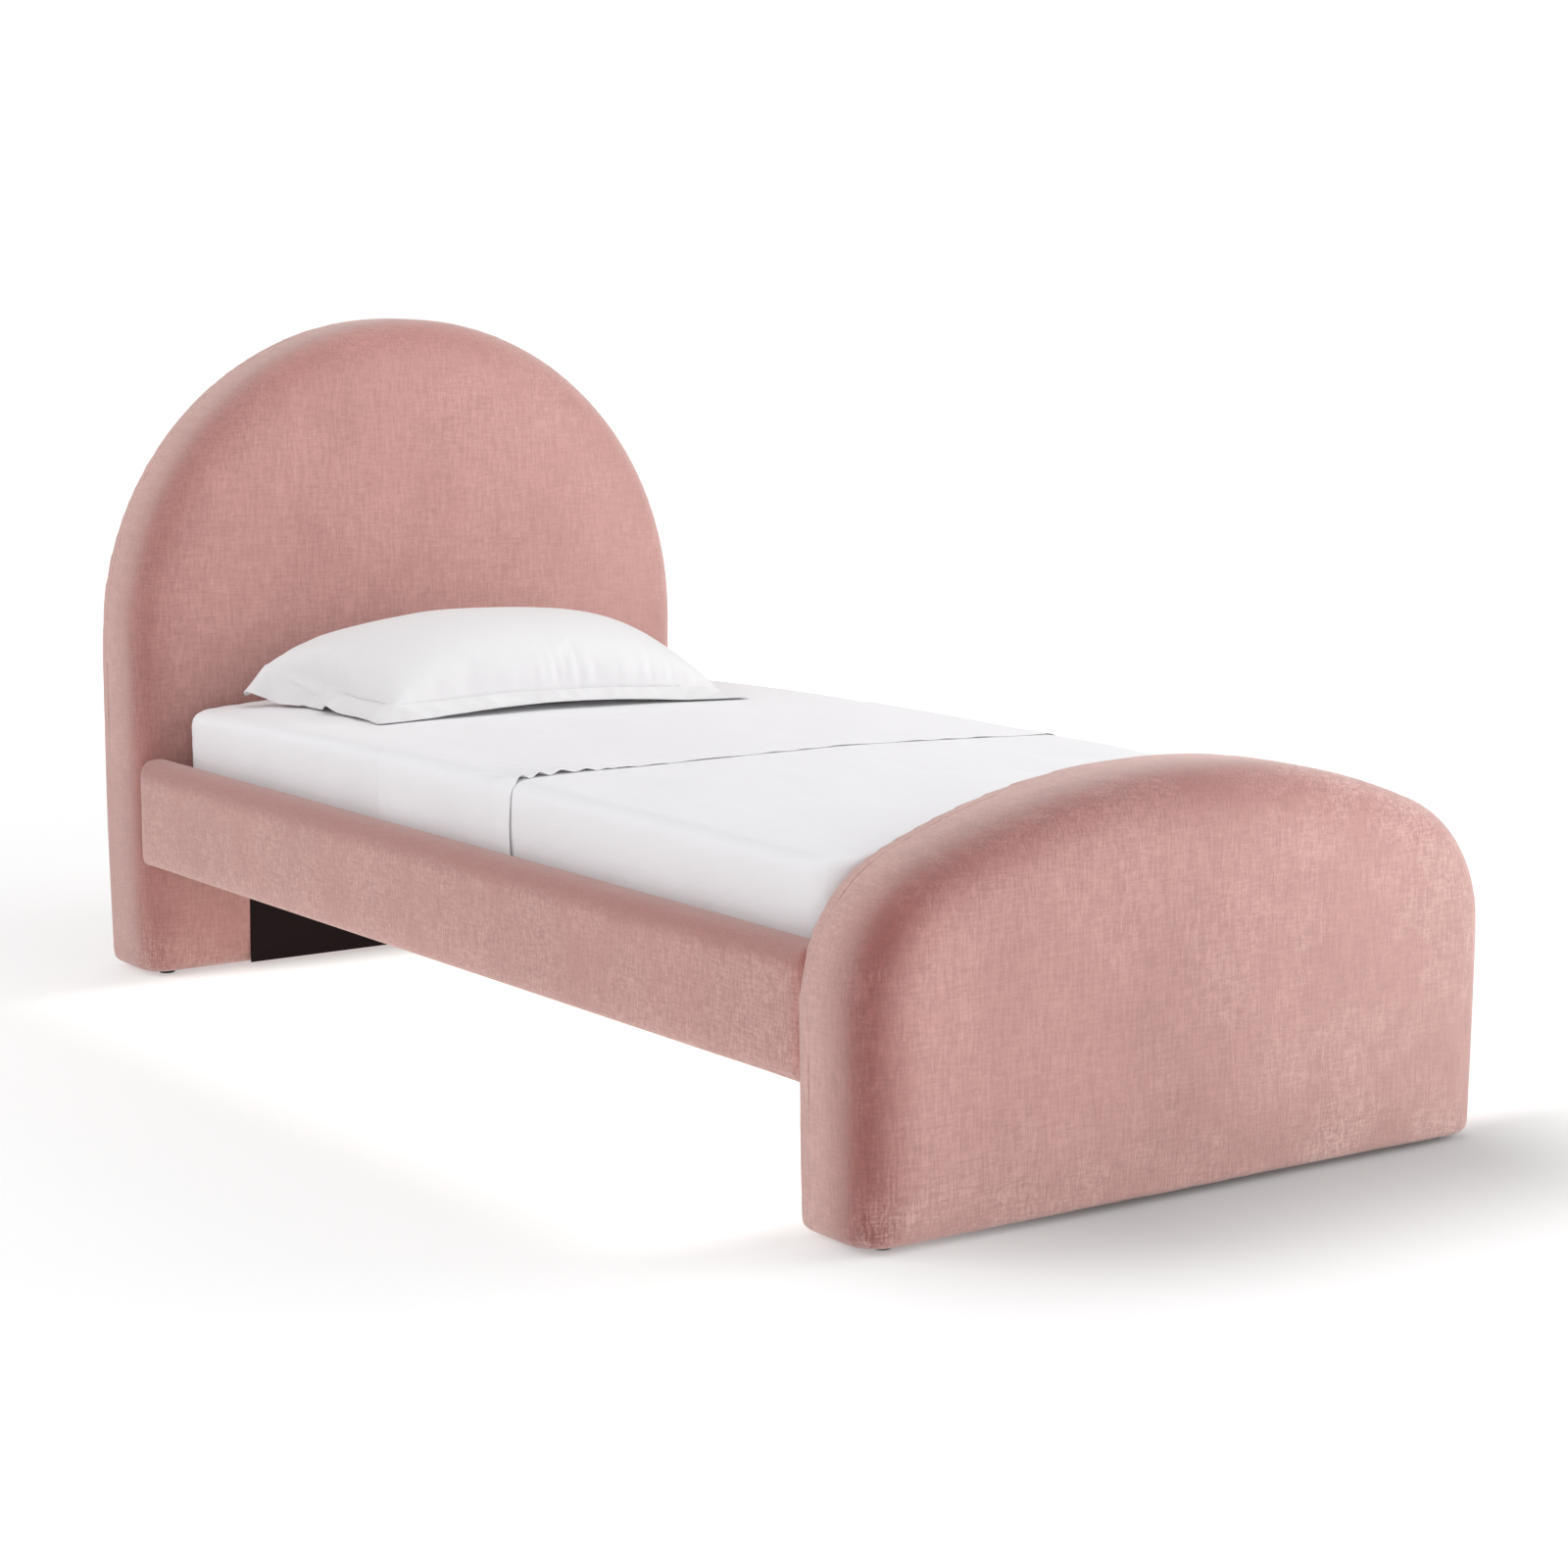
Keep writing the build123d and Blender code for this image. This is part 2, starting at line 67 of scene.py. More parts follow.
# %% Camera
camera_data = bpy.data.cameras.new("camera")
camera_data.lens, camera_data.sensor_width, camera_data.clip_end = 82.706, 36, 200
camera = bpy.data.objects.new("camera", camera_data)
camera.location = (-3.1649, -4.6563, 1.3013)
camera.rotation_euler = (math.radians(90 - 8.921), 0, math.radians(-35.168))
bpy.context.scene.collection.objects.link(camera)
bpy.context.scene.camera = camera


# %% Soft boxes
def soft_box(name, place, target, size, watts):
    """A square area light at place, turned to target."""
    light = bpy.data.lights.new(name, "AREA")
    light.shape, light.size, light.energy = "SQUARE", size, watts
    box = bpy.data.objects.new(name, light)
    box.location = place
    box.rotation_euler = (Vector(target) - Vector(place)).to_track_quat("-Z", "Y").to_euler()
    bpy.context.scene.collection.objects.link(box)


BED_MIDDLE = (0, 0, 0.45)
soft_box("right_soft_box", (4.6, -2.6, 2.2), BED_MIDDLE, 3.4, 205)
soft_box("foot_soft_box", (2.2, -5.2, 2.4), BED_MIDDLE, 3.0, 72)
soft_box("left_soft_box", (-4.2, 2.2, 3.3), BED_MIDDLE, 3.0, 96)
soft_box("near_soft_box", (-4.8, -2.0, 3.0), BED_MIDDLE, 3.0, 36)
soft_box("camera_soft_box", (-3.0, -5.0, 1.35), BED_MIDDLE, 2.3, 60)
soft_box("top_soft_box", (0.4, 0.2, 4.6), BED_MIDDLE, 4.2, 80)
soft_box("back_soft_box", (1.6, 5.4, 1.5), BED_MIDDLE, 3.0, 80)

# %% World
# The backdrop is seen as white, but it gives only a faint light of its own.
world = bpy.data.worlds.new("studio")
world.use_nodes = True
bpy.context.scene.world = world
sky = world.node_tree
seen, glow = sky.nodes["Background"], sky.nodes.new("ShaderNodeBackground")
choose, rays = sky.nodes.new("ShaderNodeMixShader"), sky.nodes.new("ShaderNodeLightPath")
seen.inputs["Color"].default_value = glow.inputs["Color"].default_value = (1, 1, 1, 1)
seen.inputs["Strength"].default_value, glow.inputs["Strength"].default_value = 1.02, 0.19
sky.links.new(rays.outputs["Is Camera Ray"], choose.inputs[0])
sky.links.new(glow.outputs[0], choose.inputs[1])
sky.links.new(seen.outputs[0], choose.inputs[2])
sky.links.new(choose.outputs[0], sky.nodes["World Output"].inputs["Surface"])
bpy.context.scene.view_settings.view_transform = "Standard"

# %% [markdown]
# ## Finishes
#
# A finish is a small node tree. Writing sums such as `1 - mask` is easier to read than wiring
# boxes, so one class wraps a socket and turns each sum into its Math node. Patterns read Object
# coordinates: every piece has its place in its mesh, so a pattern in metres is the right size on all.

# %% Shader sums
class Wire:
    """One socket of a finish. Sums with it add Math nodes."""

    def __init__(self, finish, socket):
        self.finish, self.socket = finish, socket

    def maths(self, operation, *values):
        return self.finish.node("ShaderNodeMath", {"operation": operation}, dict(enumerate(values)))

    def __add__(self, other):
        return self.maths("ADD", self, other)

    def __sub__(self, other):
        return self.maths("SUBTRACT", self, other)

    def __rsub__(self, other):
        return self.maths("SUBTRACT", other, self)

    def __mul__(self, other):
        return self.maths("MULTIPLY", self, other)

    def __pow__(self, other):
        return self.maths("POWER", self, other)

    __radd__, __rmul__ = __add__, __mul__

    def size(self):
        return self.maths("ABSOLUTE", self)

    def wave(self):
        return self.maths("SINE", self)

    def step(self, low, high, start=0.0, end=1.0):
        """start below low, end above high, and a smooth way between."""
        settings = {"interpolation_type": "SMOOTHSTEP", "clamp": True}
        sockets = {"Value": self, "From Min": low, "From Max": high, "To Min": start, "To Max": end}
        return self.finish.node("ShaderNodeMapRange", settings, sockets)


class Finish:
    """A material under construction."""

    def __init__(self, name, shown_colour):
        self.material = bpy.data.materials.new(name)
        self.material.use_nodes = True
        self.material.diffuse_color = (*shown_colour, 1)
        self.tree = self.material.node_tree
        self.tree.nodes.clear()
        self.place = self.node("ShaderNodeTexCoord", {}, {}, "Object")

    def node(self, kind, settings, sockets, output=0):
        """Adds a node of that type, sets it, then fills its sockets with values or links."""
        made = self.tree.nodes.new(kind)
        for key, value in settings.items():
            setattr(made, key, value)
        for key, value in sockets.items():
            if isinstance(value, Wire):
                self.tree.links.new(value.socket, made.inputs[key])
            else:
                made.inputs[key].default_value = value
        return Wire(self, made.outputs[output]) if made.outputs else None

    def noise(self, scale, detail=2.0, stretch=(1, 1, 1), rough=0.5, shift=(0, 0, 0)):
        """Soft random variation, 0 to 1. scale is in cells per metre and stretch multiplies it."""
        moved = {"Vector": self.place, "Scale": stretch, "Location": shift}
        sized = self.node("ShaderNodeMapping", {}, moved)
        sockets = {"Vector": sized, "Scale": scale, "Detail": detail, "Roughness": rough}
        return self.node("ShaderNodeTexNoise", {}, sockets)

    def along(self, axis):
        """The X, Y or Z of the place, in metres."""
        return self.node("ShaderNodeSeparateXYZ", {}, {0: self.place}, axis)

    def attribute(self, name):
        return self.node("ShaderNodeAttribute", {"attribute_name": name}, {}, "Fac")

    def mix(self, share, first, second):
        """first where share is 0, second where it is 1. Both are colours."""
        colours = {0: share}
        for socket, value in ((6, first), (7, second)):
            colours[socket] = value if isinstance(value, Wire) else (*value, 1)
        return self.node("ShaderNodeMix", {"data_type": "RGBA"}, colours, 2)

    def bump(self, height, depth):
        return self.node("ShaderNodeBump", {}, {"Height": height, "Distance": depth, "Strength": 1.0})

    def done(self, colour, roughness, normal=None, **constants):
        """Closes the finish. The constants are the shader's own sockets, with _ for a space."""
        sockets = {"Base Color": colour, "Roughness": roughness}
        sockets.update({key.replace("_", " "): value for key, value in constants.items()})
        if normal is not None:
            sockets["Normal"] = normal
        shader = self.node("ShaderNodeBsdfPrincipled", {}, sockets)
        self.node("ShaderNodeOutputMaterial", {}, {"Surface": shader})
        return self.material


# %% [markdown]
# ### Velvet
#
# Cut pile stands up from a woven ground. Looked at square on, light is lost between the hairs and
# the colour is deep; along an edge the hairs catch it and the cloth shines pale. The sheen of the
# shader does that. On top come upright lines where the pile lies a little differently row by row,
# faint cross lines of the ground weave, slow patches where hands have pressed it, and crushed
# spots, which are strongest on the rails. Shade and sheen are also painted into the colour: a band
# of painted shade where the cloth bends round a board's edge, a pale painted sheen on the boxing past
# the bend, painted light towards each board's right edge, and painted shade on a rail's top roll. A
# mark called `travel`, which is made with each board further down, says how far a point is from the
# bend. Light alone would darken the bend only in some views.

# %% Velvet
SHEEN = {"Sheen_Weight": 1.0, "Sheen_Roughness": 0.8, "Sheen_Tint": (0.59, 0.53, 0.505, 1)}
# painted shade: the dark band on a board's bend
BEND_PAINTED_SHADE_DEEP, BEND_PAINTED_SHADE_PALE = (0.14, 0.006, 0.004), (0.27, 0.018, 0.010)
# painted sheen: the pale, silvery boxing past the bend
BOXING_PAINTED_SHEEN_DEEP, BOXING_PAINTED_SHEEN_PALE = (0.46, 0.22, 0.195), (0.78, 0.47, 0.43)
RIGHT_PAINTED_LIGHT = (0.60, 0.34, 0.30)               # painted light: a board's cover is paler towards its right edge
ROLL_PAINTED_SHADE = (0.95, 0.48, 0.42)                # painted shade: what a rail's top roll does to each of its colours


def scaled(colour, *by):
    """The colour times one number, or times one for each of its channels."""
    by = by * 3 if len(by) == 1 else by
    return [c * k for c, k in zip(colour, by)]


def velvet(name, deep, pale, crushed, seam=None, bend=0.0, boxing=0.0, worn_side=0.0, roll=0.0,
           spread=(0.38, 0.62)):
    """deep and pale are the pile's two colours, and crushed is how strong its light spots are.
    A board's cover has painted shade on its bend, a painted sheen on its boxing and painted light
    towards its right edge, and a rail's has painted shade on its top roll."""
    cloth = Finish(name, pale)
    rows = cloth.noise(300, 3, (1, 1, 0.12), 0.75)
    weft = cloth.noise(300, 3, (0.14, 0.14, 1.0), 0.75)
    patches = cloth.noise(5, 3, (1, 1, 0.8), 0.55)
    fine = cloth.noise(260, 4, (1, 1, 0.7), 0.8, (3, 1, 2))
    grain = rows * 0.36 + weft * 0.26 + fine * 0.38
    clouds = cloth.noise(6.5, 4, (1, 1, 0.8), 0.68, (1, 5, 2))
    lie = rows.step(0.34, 0.66) * 0.40 + weft.step(0.36, 0.64) * 0.28 + patches.step(0.25, 0.75) * 0.32
    colour = cloth.mix(lie, deep, pale)
    wear = crushed
    if bend:
        across, up = cloth.along(0), cloth.along(2)
        travel, front = cloth.attribute("travel"), 1 - cloth.attribute("behind")
        # Painted shade: a dark band on the bend round the board's edge, on the side that shows.
        painted_shade_band = travel.step(-0.095, -0.020) * travel.step(-0.008, 0.095, 1.0, 0.0) * front
        # Painted sheen: the boxing past the bend is painted pale and silvery.
        side = travel.step(-0.13, -0.06, 1.0, 0.0) * front
        colour = cloth.mix(side * boxing, colour, cloth.mix(lie, BOXING_PAINTED_SHEEN_DEEP, BOXING_PAINTED_SHEEN_PALE))
        colour = cloth.mix(painted_shade_band * bend, colour, cloth.mix(lie, BEND_PAINTED_SHADE_DEEP, BEND_PAINTED_SHADE_PALE))
        # Painted light: a board's cover is painted paler towards its right edge.
        colour = cloth.mix(across.step(-0.10, 0.55) * 0.22, colour, RIGHT_PAINTED_LIGHT)
        wear = across.step(-0.10, 0.40) * worn_side + up.step(0.015, 0.11, 0.55, 0.0) + crushed
    if roll:
        # Painted shade: a rail's top roll is painted deeper.
        top = cloth.along(2).step(0.338, 0.368)
        colour = cloth.mix(top * roll, colour, scaled(deep, *ROLL_PAINTED_SHADE))
        wear = crushed * (1 - top * 0.8)
    crush = grain.step(0.43, 0.60) * clouds.step(*spread) * wear
    colour = cloth.mix(crush, colour, [c * 0.85 + more for c, more in zip(pale, (0.20, 0.185, 0.165))])
    height = rows * 0.5 + weft * 0.35 + grain * 0.3 + patches * 0.4
    if seam is not None:
        gap = (cloth.along(1) - seam).size().step(0.0, 0.0020, 1.0, 0.0)
        colour = cloth.mix(gap * 0.2, colour, scaled(deep, 0.7))
    return cloth.done(colour, 0.9, cloth.bump(height, 0.0012), Specular_IOR_Level=0.12, **SHEEN)


# %% Velvet for the boards and the rails
SEAM_IN = 0.037          # the boxing seam's distance from a board's plain face
HEAD_SEAM, FOOT_SEAM = 1.125 - SEAM_IN, -0.965 - SEAM_IN
DEEP, PALE = (0.300, 0.109, 0.096), (0.485, 0.220, 0.193)
RAIL_DEEP, RAIL_PALE = (0.265, 0.068, 0.056), (0.415, 0.130, 0.108)
# bend sets the strength of the painted shade on the bend, and boxing that of the painted sheen on the
# boxing.
head_velvet = velvet("velvet_headboard", DEEP, PALE, 0.12, HEAD_SEAM, bend=0.50, boxing=0.22,
                     worn_side=0.15)
foot_velvet = velvet("velvet_footboard", DEEP, PALE, 0.22, FOOT_SEAM, bend=0.92, boxing=0.45,
                     worn_side=0.5)
# roll sets the strength of the painted shade on the rail's top roll.
rail_velvet = velvet("velvet_rails", RAIL_DEEP, RAIL_PALE, 0.72, roll=0.8, spread=(0.20, 0.62))
print("velvet nodes:", [len(m.node_tree.nodes) for m in (head_velvet, foot_velvet, rail_velvet)])

# %% [markdown]
# ### Cotton, ticking and black base cloth
#
# The sheets are plain white cotton: almost no colour, a weave too fine to see from the door, and
# soft creases. The mattress has a quilted white ticking, and the back panels are black non-woven cloth.

# %% Plain cloths
def cotton(name, colour, crease=0.5):
    cloth = Finish(name, colour)
    threads = [(cloth.along(axis) * 5200.0).wave() for axis in (0, 1)]
    creases = cloth.noise(9, 3, (1, 0.5, 1), 0.45)
    slubs = cloth.noise(420, 1, (1, 0.2, 1))
    shade = cloth.mix(creases.step(0.3, 0.7) * 0.35 + slubs * 0.15, colour, scaled(colour, 0.965))
    height = creases * crease + slubs * 0.02 + threads[0] * threads[1] * 0.004
    return cloth.done(shade, 0.85, cloth.bump(height, 0.012), Specular_IOR_Level=0.2,
                      Sheen_Weight=0.15, Sheen_Roughness=0.5)


def ticking(name, colour):
    cloth = Finish(name, colour)
    quilt = (cloth.along(0) * 36.0).wave() * (cloth.along(1) * 36.0).wave()
    damask = cloth.noise(60, 2).step(0.45, 0.55)
    shade = cloth.mix(damask * 0.5, colour, scaled(colour, 0.93))
    return cloth.done(shade, 0.8, cloth.bump(quilt.size() ** 0.4 + damask * 0.05, 0.006))


def base_cloth(name, colour):
    cloth = Finish(name, colour)
    fibres = cloth.noise(900, 3, (1, 1, 0.4), 0.7)
    dimples = (cloth.along(0) * 2500.0).wave() * (cloth.along(2) * 2500.0).wave()
    shade = cloth.mix(fibres.step(0.35, 0.7), colour, scaled(colour, 1.9))
    height = fibres * 0.6 + dimples * 0.3
    return cloth.done(shade, 0.92, cloth.bump(height, 0.0006), Specular_IOR_Level=0.15)


sheet_cotton = cotton("white_cotton", (0.84, 0.83, 0.85))
# Painted shade: the sham is the sheets' white cotton made darker.
sham_cotton_painted_shade = cotton("sham_cotton_painted_shade", (0.755, 0.745, 0.755), 0.35)
mattress_ticking = ticking("mattress_ticking", (0.74, 0.73, 0.71))
black_cloth = base_cloth("black_base_cloth", (0.011, 0.006, 0.007))

# %% [markdown]
# ### Timber, metal, foam and plastic
#
# Most of these parts only show from below or while the mattress is lifted. Timber needs its grain
# to run the long way of the part, so the slats, which lie across, and the beam, which runs the
# length, get one finish each. Metal gets fine scratches, and plastic a fine grain.

# %% Hard finishes
def timber(name, light, dark, grain):
    """grain is the axis (0, 1 or 2) that the fibres run along."""
    wood = Finish(name, light)
    stretch = [1.0, 1.0, 1.0]
    stretch[grain] = 0.05
    warp = wood.noise(3, 2)
    rings = (wood.noise(28, 3, stretch, 0.55) * 34.0 + warp * 4.0).wave() * 0.5 + 0.5
    pores = wood.noise(700, 2, stretch, 0.6).step(0.58, 0.72)
    knots = wood.noise(5, 0, stretch).step(0.74, 0.8)
    colour = wood.mix(rings * 0.55 + pores * 0.3, light, dark)
    colour = wood.mix(knots * 0.7, colour, scaled(dark, 0.45))
    return wood.done(colour, rings * 0.12 + 0.52, wood.bump(rings * 0.3 - pores * 0.6, 0.0005))


def plywood(name, light, dark):
    """Face veneer on the flats and glued layers on the edges, 1.5 mm each."""
    wood = Finish(name, light)
    veneer = (wood.noise(22, 3, (1, 1, 0.06), 0.5) * 30.0).wave() * 0.5 + 0.5
    layers = (wood.along(1) * 2094.0).wave().step(-0.3, 0.3)
    edge = wood.node("ShaderNodeNewGeometry", {}, {}, "Normal")
    across = wood.node("ShaderNodeSeparateXYZ", {}, {0: edge}, 1).size().step(0.5, 0.7)
    colour = wood.mix(veneer * 0.5, light, dark)
    colour = wood.mix((1 - across) * layers * 0.6, colour, scaled(dark, 0.6))
    return wood.done(colour, 0.62, wood.bump(veneer * 0.2 + layers * 0.3, 0.0004))


def metal(name, colour, roughness, metallic=1.0):
    steel = Finish(name, colour)
    scratches = steel.noise(900, 3, (1, 0.06, 1), 0.7)
    film = steel.noise(45, 3)
    shade = steel.mix(film.step(0.3, 0.7) * 0.5, colour, scaled(colour, 0.72))
    rough = scratches * 0.18 + film * 0.1 + (roughness - 0.14)
    return steel.done(shade, rough, steel.bump(scratches, 0.0001), Metallic=metallic)


def plastic(name, colour, roughness):
    shell = Finish(name, colour)
    grain = shell.noise(1400, 2)
    wear = shell.noise(60, 3).step(0.5, 0.8)
    shade = shell.mix(wear * 0.4, colour, [c * 1.5 + 0.01 for c in colour])
    return shell.done(shade, wear * 0.15 + roughness, shell.bump(grain, 0.0003))


def open_cells(name, colour):
    foam = Finish(name, colour)
    cells = foam.node("ShaderNodeTexVoronoi", {}, {"Vector": foam.place, "Scale": 620.0})
    tone = foam.noise(20, 2)
    # Painted shade: the pores' hollows, where the bump is low, are darker, on a random tone.
    shade = foam.mix(cells.step(0.1, 0.6) * 0.5 + tone * 0.3, scaled(colour, 0.8), colour)
    return foam.done(shade, 0.95, foam.bump(cells, 0.0012))


PINE, PINE_DARK = (0.62, 0.42, 0.24), (0.43, 0.25, 0.12)
frame_wood = {axis: timber(f"frame_pine_{'xyz'[axis]}", PINE, PINE_DARK, axis) for axis in range(3)}
slat_wood = timber("slat_poplar", (0.70, 0.55, 0.37), (0.55, 0.39, 0.23), 0)
board_ply = plywood("birch_plywood", (0.66, 0.50, 0.32), (0.50, 0.35, 0.20))
zinc = metal("zinc_plated_steel", (0.63, 0.63, 0.60), 0.36)
black_steel = metal("black_painted_steel", (0.025, 0.025, 0.027), 0.42, 0.0)
brass = metal("brass", (0.70, 0.50, 0.21), 0.3)
black_plastic = plastic("black_plastic", (0.018, 0.018, 0.02), 0.45)
foam_grey = open_cells("upholstery_foam", (0.62, 0.60, 0.55))
pillow_fill = open_cells("pillow_fill", (0.85, 0.85, 0.83))

# %% Finishes on the hard parts
BY_SLOT = {"velvet": foot_velvet, "black_cloth": black_cloth, "foam": foam_grey, "plywood": board_ply,
           "frame_wood": frame_wood[0], "slat_wood": slat_wood, "black_steel": black_steel,
           "zinc_steel": zinc, "brass": brass, "black_plastic": black_plastic,
           "mattress_ticking": mattress_ticking, "white_cotton": sheet_cotton, "pillow_fill": pillow_fill}
slot_of = {part["node"]: part["material_slot"] for part in frame["record"]["subparts"]}
for name, node in frame["nodes"].items():
    low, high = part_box(name)
    grain = max(range(3), key=lambda axis: (high - low)[axis])
    slot = slot_of[name]
    node.data.materials.clear()
    node.data.materials.append(frame_wood[grain] if slot == "frame_wood" else BY_SLOT[slot])
print(len(slot_of), "CAD nodes with a finish")

# %% [markdown]
# ## Tools for modelling
#
# Blender's operators act on whatever is selected, and the CAD nodes are still selected from loading.
# So every step first deselects all, then picks its piece, and picks faces or edges by where they are.

# %% Picking and moving
def only(piece):
    """Makes piece the one selected and active object."""
    if bpy.context.mode != "OBJECT":
        bpy.ops.object.mode_set(mode="OBJECT")
    bpy.ops.object.select_all(action="DESELECT")
    piece.select_set(True)
    bpy.context.view_layer.objects.active = piece
    return piece


def pick(piece, kind, test):
    """Enters edit mode on piece with the VERTs, EDGEs or FACEs selected whose centre passes test."""
    only(piece)
    bpy.ops.object.mode_set(mode="EDIT")
    bpy.ops.mesh.select_mode(type=kind)
    bpy.ops.mesh.select_all(action="DESELECT")
    shape = bmesh.from_edit_mesh(piece.data)
    for part in {"VERT": shape.verts, "EDGE": shape.edges, "FACE": shape.faces}[kind]:
        if kind == "VERT":
            part.select_set(bool(test(part.co)))
        elif kind == "EDGE":
            part.select_set(all(test(v.co) for v in part.verts))
        else:
            part.select_set(bool(test(part.calc_center_median())))
    shape.select_flush_mode()
    bmesh.update_edit_mesh(piece.data)


def leave(piece):
    bpy.ops.object.mode_set(mode="OBJECT")
    return piece


def tidy_normals(piece):
    pick(piece, "FACE", lambda c: True)
    bpy.ops.mesh.remove_doubles(threshold=1e-5)
    bpy.ops.mesh.normals_make_consistent(inside=False)
    return leave(piece)


def block(name, low, high):
    """A box between two corners, with its place in its mesh."""
    bpy.ops.object.select_all(action="DESELECT")
    bpy.ops.mesh.primitive_cube_add(size=1)
    piece = bpy.context.active_object
    piece.name = piece.data.name = name
    size = [b - a for a, b in zip(low, high)]
    bpy.ops.object.mode_set(mode="EDIT")
    bpy.ops.transform.resize(value=size)
    bpy.ops.transform.translate(value=[(a + b) / 2 for a, b in zip(low, high)])
    return leave(piece)


def slice_up(piece, axis, cuts):
    """Cuts piece across by a plane at each place along an axis, to give it rows of faces."""
    normal = [float(i == axis) for i in range(3)]
    pick(piece, "FACE", lambda c: True)
    for cut in cuts:
        bpy.ops.mesh.select_all(action="SELECT")
        bpy.ops.mesh.bisect(plane_co=[cut * n for n in normal], plane_no=normal)
    return leave(piece)


def points(piece):
    flat = np.empty(len(piece.data.vertices) * 3)
    piece.data.vertices.foreach_get("co", flat)
    return flat.reshape(-1, 3)


def outward(piece):
    """Each point's outward direction."""
    flat = np.empty(len(piece.data.vertices) * 3)
    piece.data.vertices.foreach_get("normal", flat)
    return flat.reshape(-1, 3)


def share(value):
    return np.clip(value, 0, 1)


def set_points(piece, places):
    piece.data.vertices.foreach_set("co", places.ravel())
    piece.data.update()


def apply(piece, kind, **settings):
    """Adds a modifier, sets it and applies it at once."""
    only(piece)
    modifier = piece.modifiers.new(kind.title(), kind)
    for key, value in settings.items():
        setattr(modifier, key, value)
    bpy.ops.object.modifier_apply(modifier=modifier.name)
    return piece


def even_faces(piece, voxel, rounds=2):
    """Remeshes piece to even faces and lays them back on its first surface."""
    only(piece)
    first = piece.copy()
    first.data = piece.data.copy()
    bpy.context.scene.collection.objects.link(first)
    name = piece.data.name
    apply(piece, "REMESH", mode="VOXEL", voxel_size=voxel)
    apply(piece, "SMOOTH", factor=0.5, iterations=rounds)
    apply(piece, "SHRINKWRAP", target=first, wrap_method="NEAREST_SURFACEPOINT")
    bpy.data.objects.remove(first)
    piece.data.name = name
    return piece


def smooth(piece, degrees=60):
    only(piece)
    bpy.ops.object.shade_smooth_by_angle(angle=math.radians(degrees))
    return piece


def finish_piece(piece, material, slot_name, body, *nodes):
    """Gives a finished piece its look, its body and the CAD nodes it stands for."""
    piece.data.materials.clear()
    piece.data.materials.append(material)
    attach(piece, body)
    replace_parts(piece, *nodes)
    print(f"{piece.name}: {len(piece.data.polygons)} faces")
    return piece


# %% Cloth
FIRM = 0.0005            # the foam core stops the cloth after this much inwards


def run_cloth(piece, frames, cap=None, pins=None, pressure=0.0, gravity=0.0, slack=0.0, **settings):
    """Runs the Cloth simulation on piece and applies it. Points move at most cap."""
    start, outside = points(piece), outward(piece)
    only(piece)
    cloth = piece.modifiers.new("Cloth", "CLOTH")
    cloth.settings.effector_weights.gravity = gravity
    cloth.settings.use_pressure = pressure > 0
    cloth.settings.uniform_pressure_force = pressure
    cloth.settings.shrink_min = -slack
    if pins is not None:
        group = piece.vertex_groups.new(name="pins")
        for weight in sorted(set(np.round(pins, 2)) - {0.0}):
            chosen = np.flatnonzero(np.round(pins, 2) == weight)
            group.add([int(i) for i in chosen], float(weight), "REPLACE")
        cloth.settings.vertex_group_mass = "pins"
    for key, value in {"quality": 5, "mass": 0.3, **settings}.items():
        owner = cloth.collision_settings if hasattr(cloth.collision_settings, key) else cloth.settings
        setattr(owner, key, value)
    cloth.point_cache.frame_start, cloth.point_cache.frame_end = 1, frames
    for number in range(1, frames + 1):
        bpy.context.scene.frame_set(number)
    bpy.ops.object.modifier_apply(modifier=cloth.name)
    bpy.context.scene.frame_set(1)
    piece.vertex_groups.clear()
    if cap is not None:
        move = points(piece) - start
        inward = np.maximum(0, -FIRM - np.einsum("ij,ij->i", move, outside))
        move += outside * inward[:, None]
        length = np.linalg.norm(move, axis=1, keepdims=True)
        set_points(piece, start + move * np.minimum(1, cap / np.maximum(length, 1e-9)))
    return piece


# %% [markdown]
# ## Headboard and footboard
#
# On the real bed a plywood arch is wrapped in foam, and a velvet cover with a wide boxing is pulled
# over it. The edge on the side that shows is plump, the other one tighter, and the foam swells a
# little between the edges. The outline is drawn as a maker would with a compass: a leg, arcs, a leg.
# It is filled and drawn out to the board's depth, and its two rims are bevelled. A voxel remesh
# gives it even faces, and a short Cloth run with air pressure blows it up by a few millimetres.

# %% Board blank
HALF, GLIDE = 0.552, 0.006               # half the width, and the glides' height
SWELL_START = 0.004      # the blank's faces start this much further in, because they swell
RIM_OUT = 0.001          # its outline starts this much further out, because the remesh rounds it


